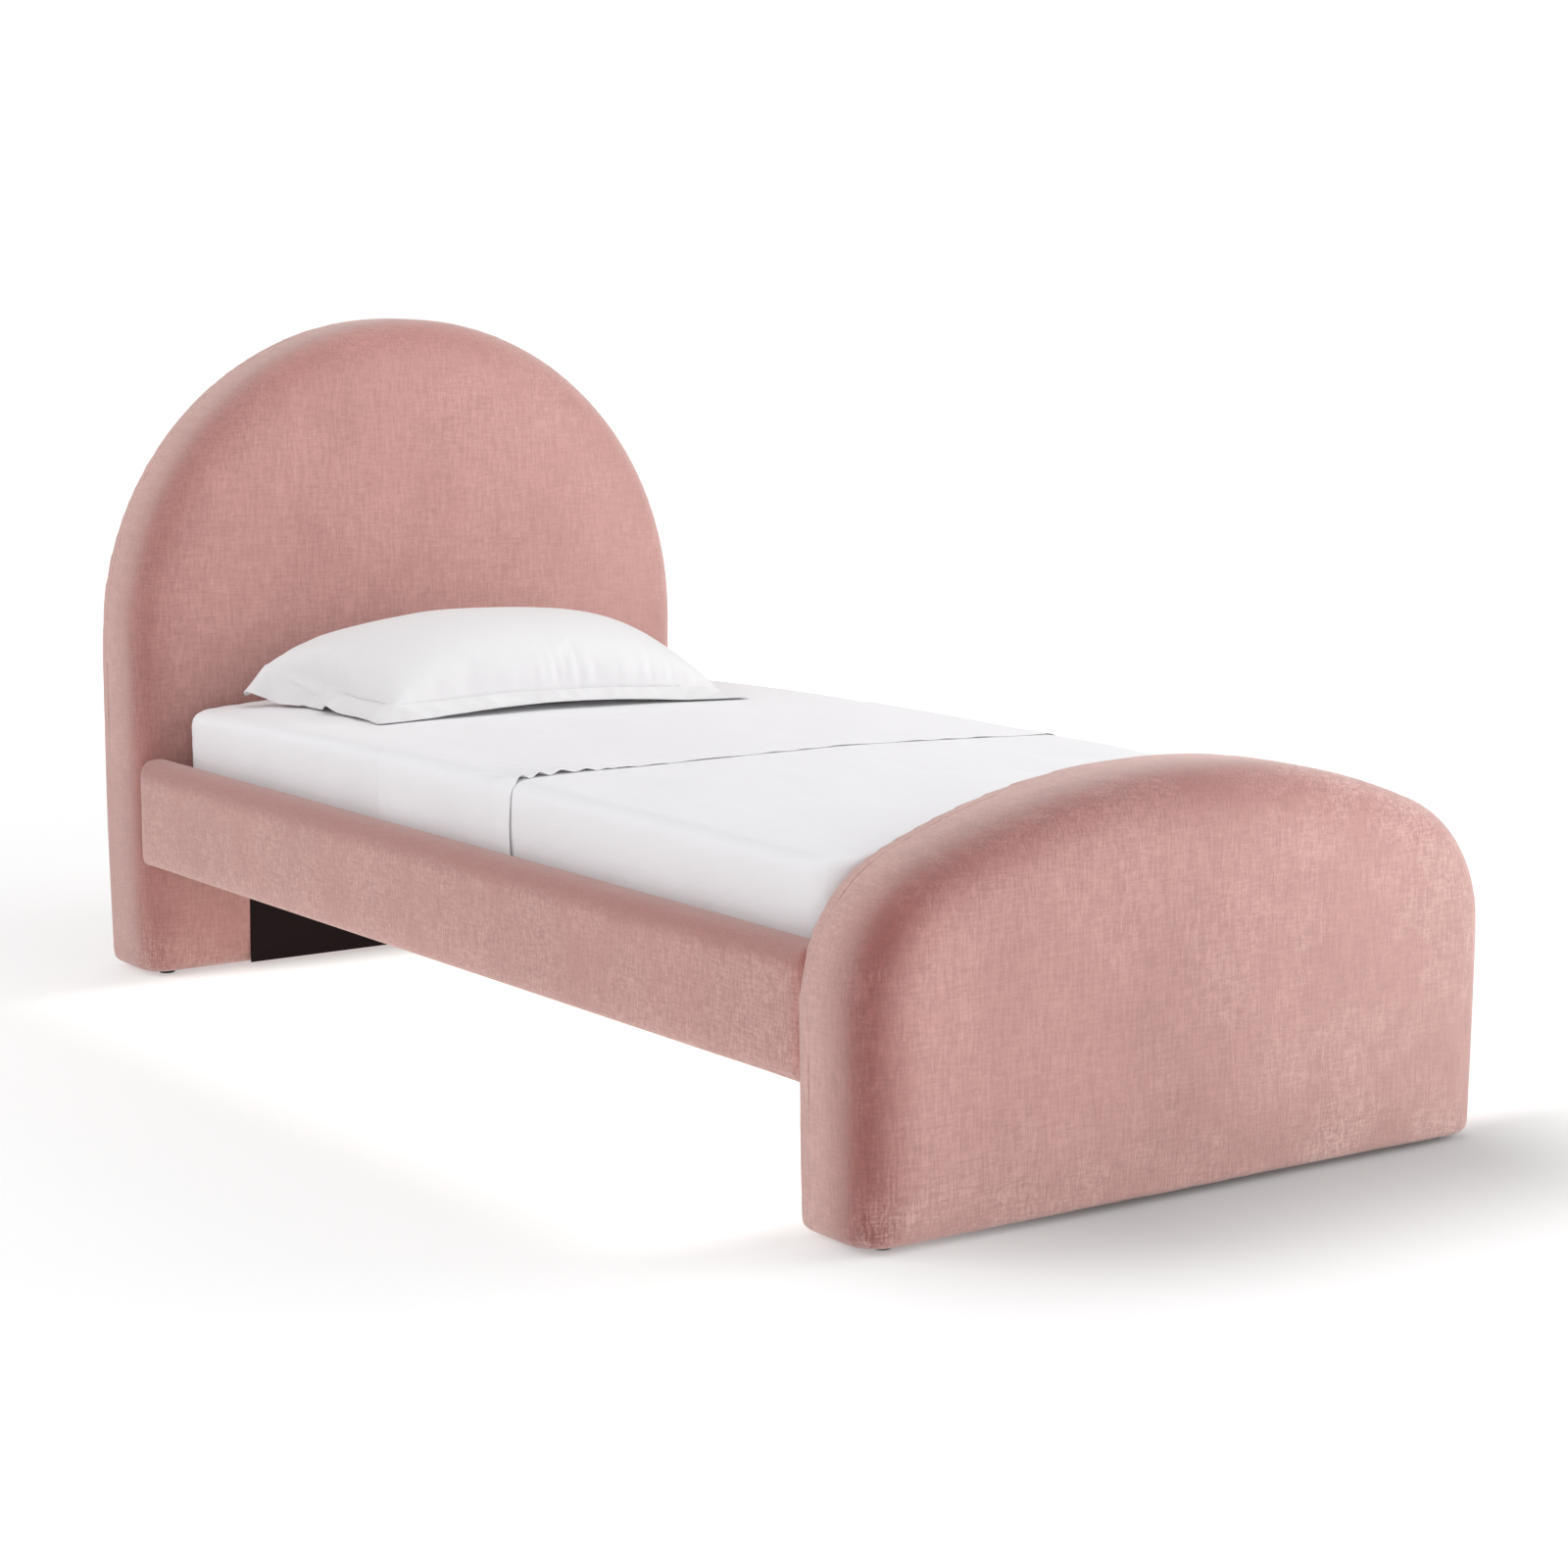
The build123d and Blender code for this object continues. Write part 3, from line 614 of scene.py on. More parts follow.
def board_blank(name, plain_y, showing_y, leg_top, arcs):
    """arcs are (angle, centre height, centre X) from the right leg's top to the crown."""
    bpy.ops.object.select_all(action="DESELECT")
    bpy.ops.mesh.primitive_plane_add(size=0.01)
    board = bpy.context.active_object
    board.name = board.data.name = name
    edge = HALF + RIM_OUT
    bpy.ops.object.mode_set(mode="EDIT")
    bpy.ops.mesh.select_all(action="SELECT")
    bpy.ops.mesh.merge(type="CENTER")
    bpy.ops.transform.translate(value=(edge, plain_y, GLIDE))
    bpy.ops.mesh.extrude_region_move(TRANSFORM_OT_translate={"value": (0, 0, leg_top - GLIDE)})
    for angle, height, x in arcs:
        steps = max(3, round(angle / 0.045))
        bpy.ops.mesh.spin(steps=steps, angle=angle, center=(x, plain_y, height), axis=(0, 1, 0))
    bpy.ops.mesh.extrude_region_move(TRANSFORM_OT_translate={"value": (0, 0, GLIDE - leg_top)})
    bpy.ops.mesh.select_all(action="SELECT")
    bpy.ops.mesh.remove_doubles(threshold=1e-5)
    bpy.ops.mesh.select_all(action="SELECT")
    bpy.ops.mesh.edge_face_add()
    bpy.ops.mesh.extrude_region_move(TRANSFORM_OT_translate={"value": (0, showing_y - plain_y, 0)})
    bpy.ops.mesh.select_all(action="SELECT")
    bpy.ops.mesh.normals_make_consistent(inside=False)
    return leave(board)


def round_rims(board, rims):
    """rims are (Y, radius): bevels the board's edge on that side, apart from along the floor."""
    for y, radius in rims:
        pick(board, "EDGE", lambda c: abs(c.y - y) < 1e-4)
        shape = bmesh.from_edit_mesh(board.data)
        for rim in shape.edges:
            if rim.select and all(abs(v.co.z - GLIDE) < 1e-4 for v in rim.verts):
                rim.select_set(False)
        bmesh.update_edit_mesh(board.data)
        bpy.ops.mesh.bevel(offset=radius, segments=7, affect="EDGES", clamp_overlap=False)
        leave(board)
    return board


def arch(height, half, spring, side_radius):
    """The side arc and half the crown arc of a three-centred arch, as (angle, height, X)."""
    if side_radius is None:
        return [(math.pi, spring, 0)]
    a, rise, r = half, height - spring, side_radius
    crown = ((a - r) ** 2 + rise ** 2 - r ** 2) / (2 * (rise - r))
    centre = spring + rise - crown
    turn = math.atan2(a - r, spring - centre)
    side = math.pi / 2 - turn
    return [(side, spring, a - r), (2 * turn, centre, 0), (side, spring, r - a)]


# %% Marks for the velvet
def note(piece, name, values, domain="POINT"):
    """Keeps a number at each point or face, which later steps and finishes can read."""
    kept = piece.data.attributes.new(name, "FLOAT", domain)
    kept.data.foreach_set("value", np.asarray(values, np.float32))


def noted(piece, name):
    kept = piece.data.attributes[name].data
    values = np.empty(len(kept), np.float32)
    kept.foreach_get("value", values)
    return values


def mark_travel(board, arcs, leg_top, showing_y):
    """Notes how far each point is past the bend: above 0 on the face, below 0 on the boxing."""
    outline = [(HALF, z) for z in np.linspace(0, leg_top, 40)]
    for angle, height, x in arcs:
        out, up = np.array(outline[-1]) - (x, height)
        for part in np.linspace(0, angle, 60)[1:]:
            cos, sin = math.cos(part), math.sin(part)
            outline.append((x + out * cos - up * sin, height + out * sin + up * cos))
    outline += [(-HALF, z) for z in np.linspace(leg_top, 0, 40)]
    places, outline = points(board), np.array(outline)
    inside = np.full(len(places), 9.0)
    for spot in outline:
        inside = np.minimum(inside, np.hypot(places[:, 0] - spot[0], places[:, 2] - spot[1]))
    depth = np.abs(places[:, 1] - showing_y)
    note(board, "travel", inside - depth)
    note(board, "behind", share((depth - 0.125) / 0.02))
    print(board.name, "is at most", round(float(inside.max()), 3), "m from its outline")


# %% Board cover
FACE_ROUND, BACK_ROUND = 0.045, 0.013    # on the side that shows and on the plain one
STAPLED, PULLED_IN = 0.30, 0.011         # below this height the legs taper, by this share


def cover(name, plain_y, showing_y, shape, seam, dust_y):
    """A board's velvet cover: blank, plump edges, swollen faces and a sewn boxing seam."""
    inward = math.copysign(SWELL_START, showing_y - plain_y)
    near, far = plain_y + inward, showing_y - inward
    height, spring, side = shape
    arcs = arch(height + RIM_OUT, HALF + RIM_OUT, spring, None if side is None else side + RIM_OUT)
    board = board_blank(name, near, far, spring, arcs)
    round_rims(board, [(far, FACE_ROUND), (near, BACK_ROUND)])
    even_faces(board, voxel=0.0115)
    run_cloth(board, 20, cap=0.0075, pressure=4.0)
    apply(board, "SMOOTH", factor=0.5, iterations=3)
    apply(board, "SUBSURF", levels=1, render_levels=1)
    places = points(board)
    places[:, 2] = np.maximum(places[:, 2], GLIDE + 0.0005)
    taper = share(1 - places[:, 2] / STAPLED) ** 1.5
    places[:, 0] *= 1 - PULLED_IN * taper
    # the dust panel lies on a flat place
    pressed = share((0.37 - np.abs(places[:, 0])) / 0.03) * share((0.215 - places[:, 2]) / 0.03)
    inner = np.sign(dust_y) * places[:, 1] < abs(dust_y) + 0.02
    flat = np.sign(dust_y) * np.maximum(np.sign(dust_y) * places[:, 1], abs(dust_y) + 0.0006)
    places[:, 1] += np.where(inner, pressed * (flat - places[:, 1]), 0)
    set_points(board, places)
    for offset in (-0.003, 0.003, 0.0):
        pick(board, "FACE", lambda c: True)
        bpy.ops.mesh.bisect(plane_co=(0, seam + offset, 0), plane_no=(0, 1, 0))
        leave(board)
    pick(board, "VERT", lambda c: abs(c.y - seam) < 1e-4)
    bpy.ops.transform.shrink_fatten(value=-0.0008)
    leave(board)
    mark_travel(board, arcs, spring, showing_y)
    return smooth(board, 75)


# %% Headboard cover
headboard = cover("headboard_upholstery", 1.125, 0.965, (1.124, 0.572, None), HEAD_SEAM, 0.965)
finish_piece(headboard, head_velvet, "velvet", "root", "headboard_cover", "headboard_foam")

# %% Footboard cover
footboard = cover("footboard_upholstery", -0.965, -1.125, (0.583, 0.311, 0.202), FOOT_SEAM, -0.965)
finish_piece(footboard, foot_velvet, "velvet", "root", "footboard_cover", "footboard_foam")

# %% [markdown]
# ## Side rails
#
# A rail is a board wrapped in foam and velvet, plump along its top and tighter below. Both ends
# press into the boards' padding. One rail is modelled, and the other is its mirror image.

# %% Rail cover
def rail(name):
    outside, inside, low, high = -0.5485, -0.4895, 0.1985, 0.3835
    piece = block(name, (outside, -0.985, low), (inside, 0.985, high))
    for x, z, radius in ((outside, high, 0.026), (inside, high, 0.020), (outside, low, 0.010),
                         (inside, low, 0.010)):
        pick(piece, "EDGE", lambda c: abs(c.x - x) < 1e-4 and abs(c.z - z) < 1e-4)
        bpy.ops.mesh.bevel(offset=radius, segments=6, affect="EDGES")
        leave(piece)
    even_faces(piece, voxel=0.009)
    run_cloth(piece, 16, cap=0.0045, pressure=4.0)
    apply(piece, "SMOOTH", factor=0.5, iterations=2)
    apply(piece, "SUBSURF", levels=1, render_levels=1)
    return smooth(piece, 75)


left_rail = rail("left_rail_upholstery")
finish_piece(left_rail, rail_velvet, "velvet", "root", "left_rail_cover", "left_rail_foam")

# %% The other rail
only(left_rail)
right_rail = left_rail.copy()
right_rail.data = left_rail.data.copy()
right_rail.parent = None
right_rail.name = right_rail.data.name = "right_rail_upholstery"
bpy.context.scene.collection.objects.link(right_rail)
pick(right_rail, "FACE", lambda c: True)
bpy.ops.transform.mirror(orient_type="GLOBAL", constraint_axis=(True, False, False),
                         center_override=(0, 0, 0))
leave(right_rail)
right_rail.pop("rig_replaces", None)
tidy_normals(right_rail)
finish_piece(right_rail, rail_velvet, "velvet", "root", "right_rail_cover", "right_rail_foam")

# %% [markdown]
# ## Dust panels
#
# Low on the mattress side of each board the velvet's raw edges are closed off by a black cloth,
# stapled on flat. It is one thin sheet, cut to size, with its edge turned under.

# %% Dust panels
DUST_HALF, DUST_LOW, DUST_HIGH, DUST_PROUD = 0.352, 0.008, 0.194, 0.0012


def dust_panel(name, y, side, node):
    """A stapled black panel, just proud of the board, on the side towards the mattress."""
    outer = y + side * DUST_PROUD
    panel = block(name, (-DUST_HALF, min(y, outer), DUST_LOW), (DUST_HALF, max(y, outer), DUST_HIGH))
    pick(panel, "EDGE", lambda c: abs(c.y - outer) < 1e-5)
    bpy.ops.mesh.bevel(offset=0.0008, segments=2, affect="EDGES")
    leave(panel)
    slice_up(panel, 0, np.arange(-0.34, 0.341, 0.02))
    slice_up(panel, 2, np.arange(0.024, 0.185, 0.02))
    places = points(panel)
    proud = np.abs(places[:, 1] - y) > 0.0006
    wave = np.sin(places[:, 0] * 61) * 0.5 + np.sin(places[:, 0] * 23 + places[:, 2] * 40) * 0.5
    places[:, 1] += side * proud * 0.0004 * (wave + 1)
    set_points(panel, places)
    smooth(panel, 60)
    finish_piece(panel, black_cloth, "black_cloth", "root", node)
    return panel


dust_panel("headboard_dust_cloth", 0.965, -1, "headboard_dust_panel")
dust_panel("footboard_dust_cloth", -0.965, 1, "footboard_dust_panel")

# %% [markdown]
# ## Mattress and sheets
#
# A sheet is a flat cloth that takes the mattress's shape: over the top, round the edge, down the
# side and in underneath. Each one is cut from a block a sheet's thickness larger than what it covers,
# opened where the cloth ends, and divided into rows so that its slack can be shaped. Draping a flat
# grid by simulation would also do, but tucked corners bunch up and the sides lose their flat fall.

# %% Wrapped shapes
MATTRESS_LOW, MATTRESS_HIGH = (-0.4825, -0.9585, 0.2893), (0.4825, 0.9465, 0.4923)
(LEFT, FOOT, UNDER), (RIGHT, HEAD, TOP) = MATTRESS_LOW, MATTRESS_HIGH
CORNER, RIM = 0.060, 0.018               # how round its corners and its edges are
CLOTH, TUCK = 0.0015, 0.150              # a sheet's space, and how far it goes in underneath
EDGE_DROP, CORNER_DROP, HEAD_DROP = 0.0105, 0.0135, 0.006


def wrapped(name, grow):
    """The mattress's rounded block, larger by grow all round."""
    low = [c - grow for c in MATTRESS_LOW]
    high = [c + grow for c in MATTRESS_HIGH]
    piece = block(name, low, high)
    pick(piece, "EDGE", lambda c: True)
    shape = bmesh.from_edit_mesh(piece.data)
    for edge in shape.edges:
        edge.select_set(abs(edge.verts[0].co.z - edge.verts[1].co.z) > 0.1)
    bmesh.update_edit_mesh(piece.data)
    bpy.ops.mesh.bevel(offset=CORNER + grow, segments=8, affect="EDGES")
    leave(piece)
    for height in (low[2], high[2]):
        pick(piece, "EDGE", lambda c: abs(c.z - height) < 1e-5)
        bpy.ops.mesh.bevel(offset=RIM + grow, segments=4, affect="EDGES")
        leave(piece)
    return piece


def open_below(piece, low, high):
    """Cuts the opening low..high (X and Y) in the underside."""
    for axis in range(2):
        slice_up(piece, axis, (low[axis], high[axis]))
    bottom = points(piece)[:, 2].min()
    pick(piece, "FACE", lambda c: (c.z < bottom + 1e-4 and low[0] < c.x < high[0]
                                   and low[1] < c.y < high[1]))
    bpy.ops.mesh.delete(type="FACE")
    return leave(piece)


def rows(start, stop, step):
    return np.arange(start + step, stop - step / 2, step)


def ripple(places, waves):
    """A sum of long soft waves; each is (height, per metre along X, along Y, along Z, offset)."""
    total = np.zeros(len(places))
    for height, *turns, offset in waves:
        total += height * np.sin(places @ np.array(turns) + offset)
    return total


def near(value, centre, width):
    return np.exp(-((value - centre) / width) ** 2)


def settle(piece):
    """Lowers the mattress along its edges and at its head end, and with it what lies on it."""
    places = points(piece)
    edge = share((np.abs(places[:, 0]) - 0.04) / 0.44) ** 1.7
    head = share((places[:, 1] - 0.30) / 0.64) ** 1.5
    drop = EDGE_DROP * edge + CORNER_DROP * edge * head + HEAD_DROP * head
    places[:, 2] -= drop * share((places[:, 2] - 0.30) / 0.19)
    set_points(piece, places)
    print(piece.name, "settled by up to", round(float(drop.max()), 4))
    return piece


# %% Mattress
mattress = wrapped("mattress_body", -0.0004)
slice_up(mattress, 0, rows(-0.46, 0.46, 0.023))
slice_up(mattress, 1, rows(-0.94, 0.93, 0.0233))
places = points(mattress)
under = places[:, 2] < UNDER + 0.001
quilt = np.abs(np.sin(places[:, 0] * 34.15) * np.sin(places[:, 1] * 33.7)) ** 0.5
inside = share((0.45 - np.abs(places[:, 0])) / 0.04) * share((0.92 - np.abs(places[:, 1])) / 0.04)
places[:, 2] += under * inside * 0.006 * (1 - quilt)
set_points(mattress, places)
smooth(mattress, 50)
finish_piece(settle(mattress), mattress_ticking, "mattress_ticking", "bedding", "mattress")

# %% Fitted sheet
fitted = wrapped("fitted_sheet_cotton", CLOTH)
open_below(fitted, (LEFT + TUCK, FOOT + TUCK), (RIGHT - TUCK, HEAD - TUCK))
slice_up(fitted, 0, rows(LEFT, RIGHT, 0.0225))
slice_up(fitted, 1, rows(FOOT, HEAD, 0.0225))
slice_up(fitted, 2, rows(UNDER + 0.02, TOP - 0.02, 0.0225))
apply(fitted, "SUBSURF", levels=1, render_levels=1)
places, normals = points(fitted), outward(fitted)
slack = ripple(places, [(0.0006, 9, 4, 17, 0.3), (0.0005, -13, 9, 5, 1.7), (0.0003, 31, 12, 9, 0.4)])
pulled = near(np.abs(places[:, 0]), 0.43, 0.09) * near(places[:, 1], 0.90, 0.13)
slack += 0.0016 * pulled * np.abs(np.sin((places[:, 0] * 0.7 + places[:, 1] + places[:, 2]) * 95))
elastic = places[:, 2] < UNDER + 0.004
slack = np.where(elastic, 0.0004 * np.sin(places[:, 0] * 160) * np.sin(places[:, 1] * 160), slack)
set_points(fitted, places + normals * np.maximum(slack, -0.0006)[:, None])
apply(fitted, "SOLIDIFY", thickness=0.0009, offset=-1)
smooth(fitted, 60)
finish_piece(settle(fitted), sheet_cotton, "white_cotton", "bedding", "fitted_sheet")

# %% [markdown]
# The top sheet comes up from under the foot of the mattress, and its head end is turned back on
# itself in a wide band. Cloth doesn't end in thin air at the fold, so band and sheet are one mesh: the
# band is copied from the laid part, moved out by a cloth's thickness, and bridged to it along the
# fold. Its hem runs a little askew, puckers at the near edge and swings to the foot on that side.

# %% Top sheet
FOLD, HEM, FOOT_TUCK = 0.240, -0.185, 0.610
BAND_GAP = 0.0012        # between the laid part and the band

top_sheet = wrapped("top_sheet_cotton", 2 * CLOTH)
open_below(top_sheet, (LEFT + TUCK, FOOT + FOOT_TUCK), (RIGHT - TUCK, 1.0))
pick(top_sheet, "FACE", lambda c: True)
bpy.ops.mesh.bisect(plane_co=(0, FOLD, 0), plane_no=(0, 1, 0), clear_outer=True)
leave(top_sheet)
slice_up(top_sheet, 0, np.concatenate([rows(LEFT, -0.30, 0.012), rows(-0.30, RIGHT, 0.0245)]))
slice_up(top_sheet, 1, np.concatenate([rows(FOOT, HEM, 0.0245), [HEM], rows(HEM, FOLD, 0.0133)]))
slice_up(top_sheet, 2, rows(UNDER + 0.02, TOP - 0.02, 0.02))

# %% The band that is turned back
laid_count = len(top_sheet.data.vertices)
pick(top_sheet, "FACE", lambda c: c.y > HEM)
bpy.ops.mesh.duplicate()
bpy.ops.transform.shrink_fatten(value=BAND_GAP)
bpy.ops.mesh.flip_normals()
leave(top_sheet)
pick(top_sheet, "EDGE", lambda c: abs(c.y - FOLD) < 1e-4)
bpy.ops.mesh.bridge_edge_loops(number_cuts=2, interpolation="LINEAR")
leave(top_sheet)
top_sheet.data.name = "top_sheet_cotton"
tidy_normals(top_sheet)
print("top sheet", len(top_sheet.data.vertices), "points,", laid_count, "of them laid")

# %% The hem's line
HEM_NEAR, HEM_SKEW = -0.165, 0.036       # its place at the near edge, and how askew it runs


def down_side(places):
    """0 at the mattress's top edge, 1 near the rail."""
    return share((TOP - 0.02 - places[:, 2]) / 0.18)


def across_bed(places):
    """-1 at the near edge, 1 at the far one."""
    return np.clip(places[:, 0] / RIGHT, -1, 1)


places = points(top_sheet)
band_share = np.zeros(len(places))
band_share[laid_count:] = 1
rings = np.zeros(len(places), bool)
rings[len(places) - 2 * sum(abs(p[1] - FOLD) < 1e-4 for p in places[:laid_count]):] = True
places[rings, 1] += 0.0018
side, down = across_bed(places), down_side(places)
hem_here = HEM_NEAR - HEM_SKEW * (side + 1) + 0.004 * np.sin(places[:, 0] * 11)
hem_here += np.where(side < 0, 0.006 * np.sin(np.pi * down) - 0.032 * down ** 2.2, 0)
reach = share((FOLD - places[:, 1]) / (FOLD - HEM))
moved = (band_share > 0) & ~rings
places[:, 1] = np.where(moved, FOLD - reach * (FOLD - hem_here), places[:, 1])
set_points(top_sheet, places)
note(top_sheet, "turned", band_share)

# %% Slack in the top sheet
apply(top_sheet, "SUBSURF", levels=1, render_levels=1)
places, normals = points(top_sheet), outward(top_sheet)
band_share, side = noted(top_sheet, "turned"), across_bed(places)
centre = np.array([0, 0, 0.39])
facing_out = np.sign(np.einsum("ij,ij->i", normals, places - centre))
slack = ripple(places, [(0.0009, 7, 5, 9, 0.9), (0.0007, -11, 14, 6, 2.2), (0.0004, 25, -19, 15, 0.7)])
from_hem = np.maximum(places[:, 1] - (HEM_NEAR - HEM_SKEW * (side + 1)), 0)
corner = near(places[:, 0], -0.455, 0.11) * near(places[:, 2], 0.497, 0.05)
pleats = np.sin(places[:, 1] * 62 + places[:, 0] * 190 + 0.9 * np.sin(places[:, 0] * 40))
pucker = 0.0040 * corner * np.exp(-from_hem / 0.08) * (0.9 + pleats)
edge_lift = 0.0035 * np.exp(-from_hem / 0.022) * (side < -0.98) * np.sin(np.pi * down_side(places))
small = 0.0007 * np.exp(-from_hem / 0.03) * (1 + np.sin(places[:, 0] * 74 + np.sin(places[:, 0] * 23) * 2))
lift = band_share * (pucker + edge_lift + small + 0.0003)
tucked = near(places[:, 2], 0.39, 0.03) * (np.abs(side) > 0.99) * near(places[:, 1], 0.16, 0.07)
lift += 0.002 * tucked * (1 + np.sin(places[:, 1] * 260))
move = (np.maximum(slack, -0.0004) + lift) * facing_out
set_points(top_sheet, places + normals * move[:, None])
apply(top_sheet, "SOLIDIFY", thickness=0.0010, offset=0)
smooth(top_sheet, 70)
finish_piece(settle(top_sheet), sheet_cotton, "white_cotton", "bedding", "top_sheet")

# %% [markdown]
# ## Pillow
#
# The sham is two cotton faces sewn together, with a flat flange of both layers outside the seam and
# the filling inside it. Drawn by hand it looks like a loaf; blown up by a Cloth run with its flange
# hanging free, it gets its pulled corners and the small gathers along the seam. The front lies low
# on the mattress, and the back left corner stands up against the headboard's side of the bed.

# %% Sham, cut flat
PILLOW_PLACE, PILLOW_TURN = (0.006, 0.662), math.radians(-8)
FLANGE, SHAM_HALF = 0.045, (0.338, 0.246)
BODY_HALF = (SHAM_HALF[0] - FLANGE, SHAM_HALF[1] - FLANGE)
PILLOW_LOW = TOP + CLOTH + 0.0022

bpy.ops.object.select_all(action="DESELECT")
bpy.ops.mesh.primitive_grid_add(x_subdivisions=61, y_subdivisions=45, size=2)
pillow = bpy.context.active_object
pillow.name = pillow.data.name = "pillow_in_sham"
bpy.ops.object.mode_set(mode="EDIT")
bpy.ops.transform.resize(value=(SHAM_HALF[0], SHAM_HALF[1], 1))
leave(pillow)
flat = points(pillow)
for axis, (body, sham) in enumerate(zip(BODY_HALF, SHAM_HALF)):   # a row of points on the seam itself
    rows_at = np.unique(flat[:, axis].round(5))
    seam_row = rows_at[np.argmin(np.abs(rows_at - body))]
    away = np.abs(flat[:, axis])
    shifted = np.where(away <= seam_row + 1e-4, away * body / seam_row,
                       body + (away - seam_row) * (sham - body) / (sham - seam_row))
    flat[:, axis] = np.sign(flat[:, axis]) * shifted
set_points(pillow, flat)
top_count = len(flat)

# %% Its second face
pick(pillow, "FACE", lambda c: abs(c.x) < BODY_HALF[0] and abs(c.y) < BODY_HALF[1])
bpy.ops.mesh.duplicate()
bpy.ops.mesh.flip_normals()
leave(pillow)
flat = points(pillow)
on_seam = np.maximum(np.abs(flat[:, 0]) / BODY_HALF[0], np.abs(flat[:, 1]) / BODY_HALF[1])
lower = np.arange(len(flat)) >= top_count
flat[:, 2] = np.where(lower & (on_seam < 0.999), -0.004, 0)
set_points(pillow, flat)
pick(pillow, "VERT", lambda c: True)
bpy.ops.mesh.remove_doubles(threshold=1e-5)
leave(pillow)
flat = points(pillow)
print("sham:", len(flat), "points,", 2 * SHAM_HALF[0], "by", 2 * SHAM_HALF[1], "m")

# %% [markdown]
# The filling's first shape is given: a low dome, a seam that climbs towards the back left,
# a flange that lies flat in front, hangs at the left and sticks out at the corner. The Cloth run then
# blows it up against the mattress, with the flange's front and right edges held.

# %% First shape
PILLOW_CROWN, BACK_RISE = 0.107, 0.058   # the dome's height, and the seam's climb at the back left
TO_LEFT, TO_FRONT = 0.104, 0.062         # how far the back left corner is pulled over

u, v = flat[:, 0] / BODY_HALF[0], flat[:, 1] / BODY_HALF[1]
reach_u, reach_v = share(np.abs(u)), share(np.abs(v))
in_body = (np.abs(u) < 0.999) & (np.abs(v) < 0.999)
lower = in_body & (flat[:, 2] < -0.002)
upper = in_body & ~lower
dome = ((1 - reach_u ** 2.6) * (1 - reach_v ** 2.4)) ** 0.62
back = share((v + 0.5) / 1.5) ** 1.3
left_back = back * (0.40 + 0.60 * share((0.3 - u) / 1.3))
seam_height = 0.004 + BACK_RISE * left_back * share(np.maximum(reach_u, reach_v))
height = np.where(upper, seam_height + PILLOW_CROWN * dome, seam_height * (1 - 0.9 * dome))
past_x = np.maximum(np.abs(flat[:, 0]) - BODY_HALF[0], 0) / FLANGE
past_y = np.maximum(np.abs(flat[:, 1]) - BODY_HALF[1], 0) / FLANGE
past = np.maximum(past_x, past_y)
hang = share((v + 0.35) / 0.7) * share((1.16 - v) / 0.4) * (u < -1)
drooped = seam_height * (1 - 0.25 * past) - 0.75 * FLANGE * past * hang
height = np.where(past > 0, np.maximum(drooped, 0.003), height)
front = (v < -1) * share(past)
height += 0.010 * front * np.maximum(0, np.sin(np.pi * (u + 0.85) / 1.6))
height += 0.014 * share(past) * (u < -1) * np.exp(-((v + 0.45) / 0.3) ** 2)
shape = np.column_stack([flat[:, 0], flat[:, 1], height])
shape[:, 0] += 0.25 * FLANGE * past_x * hang
back_share, left_share = np.clip((v + 1) / 2, 0, 1.1), share((0.3 - u) / 1.3)
shape[:, 0] -= TO_LEFT * back_share * left_share
shape[:, 1] -= TO_FRONT * back_share * left_share
shape[:, 2] += PILLOW_LOW
set_points(pillow, shape)

# %% Marks for its flange and seam
from_seam = np.minimum(BODY_HALF[0] - np.abs(flat[:, 0]), BODY_HALF[1] - np.abs(flat[:, 1]))
note(pillow, "seam_gap", np.where(past > 0, past * FLANGE, from_seam))
note(pillow, "flange", past)
note(pillow, "flat_x", flat[:, 0])
note(pillow, "flat_y", flat[:, 1])
on_flange = [float(max(past[i] for i in face.vertices) > 0.01) for face in pillow.data.polygons]
note(pillow, "flange_face", on_flange, "FACE")

# %% Onto the bed
only(pillow)
bpy.ops.object.mode_set(mode="EDIT")
bpy.ops.mesh.select_all(action="SELECT")
bpy.ops.transform.rotate(value=-PILLOW_TURN, orient_axis="Z", center_override=(0, 0, 0))
bpy.ops.transform.translate(value=(*PILLOW_PLACE, 0))
leave(pillow)
print("pillow corners", points(pillow).min(0).round(3), points(pillow).max(0).round(3))

# %% Filling it
bed_top = block("bed_top", (-0.6, -1.0, 0.40), (0.6, 1.0, PILLOW_LOW - 0.0005))
only(bed_top)
bpy.ops.object.modifier_add(type="COLLISION")
bed_top.collision.thickness_outer = 0.002
bed_top.collision.cloth_friction = 20
body_group = pillow.vertex_groups.new(name="filled")
body_group.add([int(i) for i in np.flatnonzero(past == 0)], 1.0, "REPLACE")
pins = np.where((v < -1.05) & (past > 0.9), 1.0, 0.0)
pins = np.where((past > 0.9) & (u > 1) & (v < 0.2), 1.0, pins)
run_cloth(pillow, 26, pins=pins, pressure=3.0, gravity=0.05, slack=0.03, mass=0.25,
          vertex_group_pressure="filled", collision_quality=3, distance_min=0.002,
          bending_stiffness=0.4, tension_stiffness=12,
          compression_stiffness=8, shear_stiffness=4, air_damping=2)
bpy.data.objects.remove(bed_top)
print("pillow", points(pillow).min(0).round(3), points(pillow).max(0).round(3))

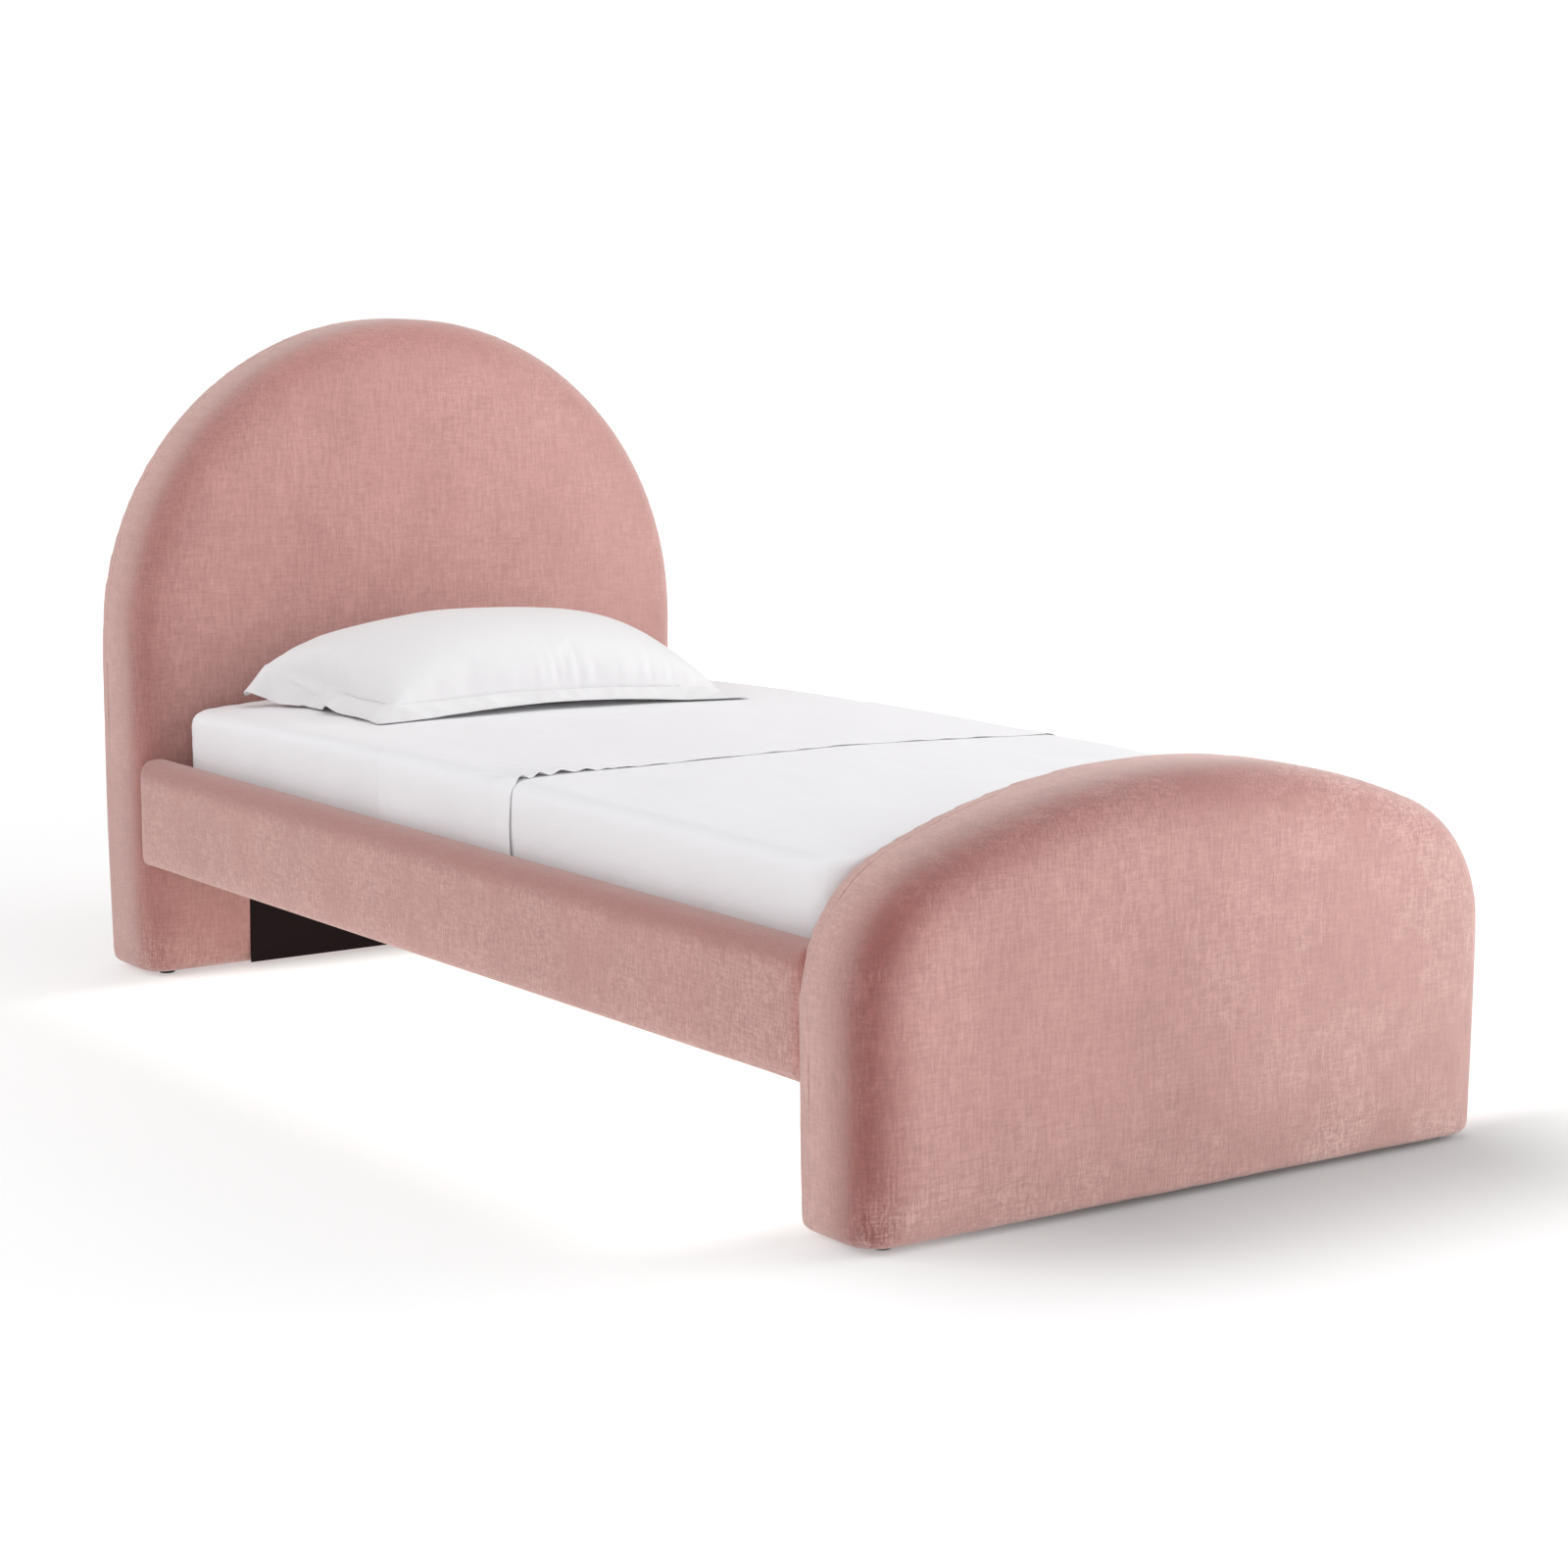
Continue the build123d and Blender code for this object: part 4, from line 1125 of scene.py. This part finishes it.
# %% Gathers along the seam
apply(pillow, "SUBSURF", levels=1, render_levels=1)
places, normals = points(pillow), outward(pillow)
gap, beyond, flat_x, flat_y = (noted(pillow, mark) for mark in ("seam_gap", "flange", "flat_x", "flat_y"))
across = np.where(np.abs(flat_x) / BODY_HALF[0] > np.abs(flat_y) / BODY_HALF[1], flat_y, flat_x)
gathers = np.abs(np.sin(across * 118 + 1.6 * np.sin(across * 31))) + 0.5 * np.abs(np.sin(across * 67 + 0.5))
on_body = 0.0034 * np.exp(-gap / 0.035) * share(gap / 0.008)
strength = np.where(beyond > 0.02, 0.0011 * (1 - beyond), on_body)
strength *= 0.55 + 0.45 * np.sin(across * 13 + 0.4)
set_points(pillow, places + normals * (strength * gathers)[:, None])
apply(pillow, "SUBSURF", levels=1, render_levels=1)

# %% The flange's two layers
flange_face = noted(pillow, "flange_face")
pick(pillow, "FACE", lambda c: False)
shape = bmesh.from_edit_mesh(pillow.data)
shape.faces.ensure_lookup_table()
for index in np.flatnonzero(flange_face > 0.5):
    shape.faces[int(index)].select_set(True)
bmesh.update_edit_mesh(pillow.data)
bpy.ops.mesh.split()
bpy.ops.mesh.solidify(thickness=0.0022)
bpy.ops.mesh.select_all(action="SELECT")
bpy.ops.mesh.normals_make_consistent(inside=False)
leave(pillow)
smooth(pillow, 75)
finish_piece(settle(pillow), sham_cotton_painted_shade, "white_cotton", "pillow_set", "pillow", "pillow_sham")

# %% [markdown]
# ## Floor
#
# A white floor that glows a little keeps the shadows soft and light, and its glow grows with the
# distance, so that it runs into the white backdrop without an edge. Two places are painted: it is
# brighter under the bed, and softly shaded before the footboard. Lamps alone could give the shade
# too, but they would also darken the velvet.

# %% Floor
bpy.ops.object.select_all(action="DESELECT")
bpy.ops.mesh.primitive_plane_add(size=60)
floor = bpy.context.active_object
floor.name = "floor"
white = Finish("studio_floor", (0.9, 0.9, 0.9))
x, y = white.along(0), white.along(1)
away = white.node("ShaderNodeVectorMath", {"operation": "LENGTH"}, {0: white.place}, "Value")
under = x.size().step(0.45, 0.9, 1.0, 0.0) * y.size().step(0.85, 1.0, 1.0, 0.0)
before = y.step(-1.65, -1.12) * y.step(-1.10, -1.0, 1.0, 0.0)
before = before * x.step(-0.75, -0.1) * x.step(0.40, 0.95, 1.0, 0.0)
glow = white.mix(under, (0.42, 0.42, 0.42), (0.90, 0.90, 0.90))
glow = white.mix(before, glow, (0.05, 0.05, 0.05))
glow = white.mix(away.step(2.2, 7.0), glow, (1.0, 1.0, 1.0))
tone = white.mix(white.noise(0.6, 1), (0.60, 0.60, 0.60), (0.62, 0.62, 0.62))
tone = white.mix(before, tone, (0.50, 0.505, 0.51))
floor.data.materials.append(white.done(tone, 0.9, Specular_IOR_Level=0.0, Emission_Color=glow,
                                       Emission_Strength=1.0))
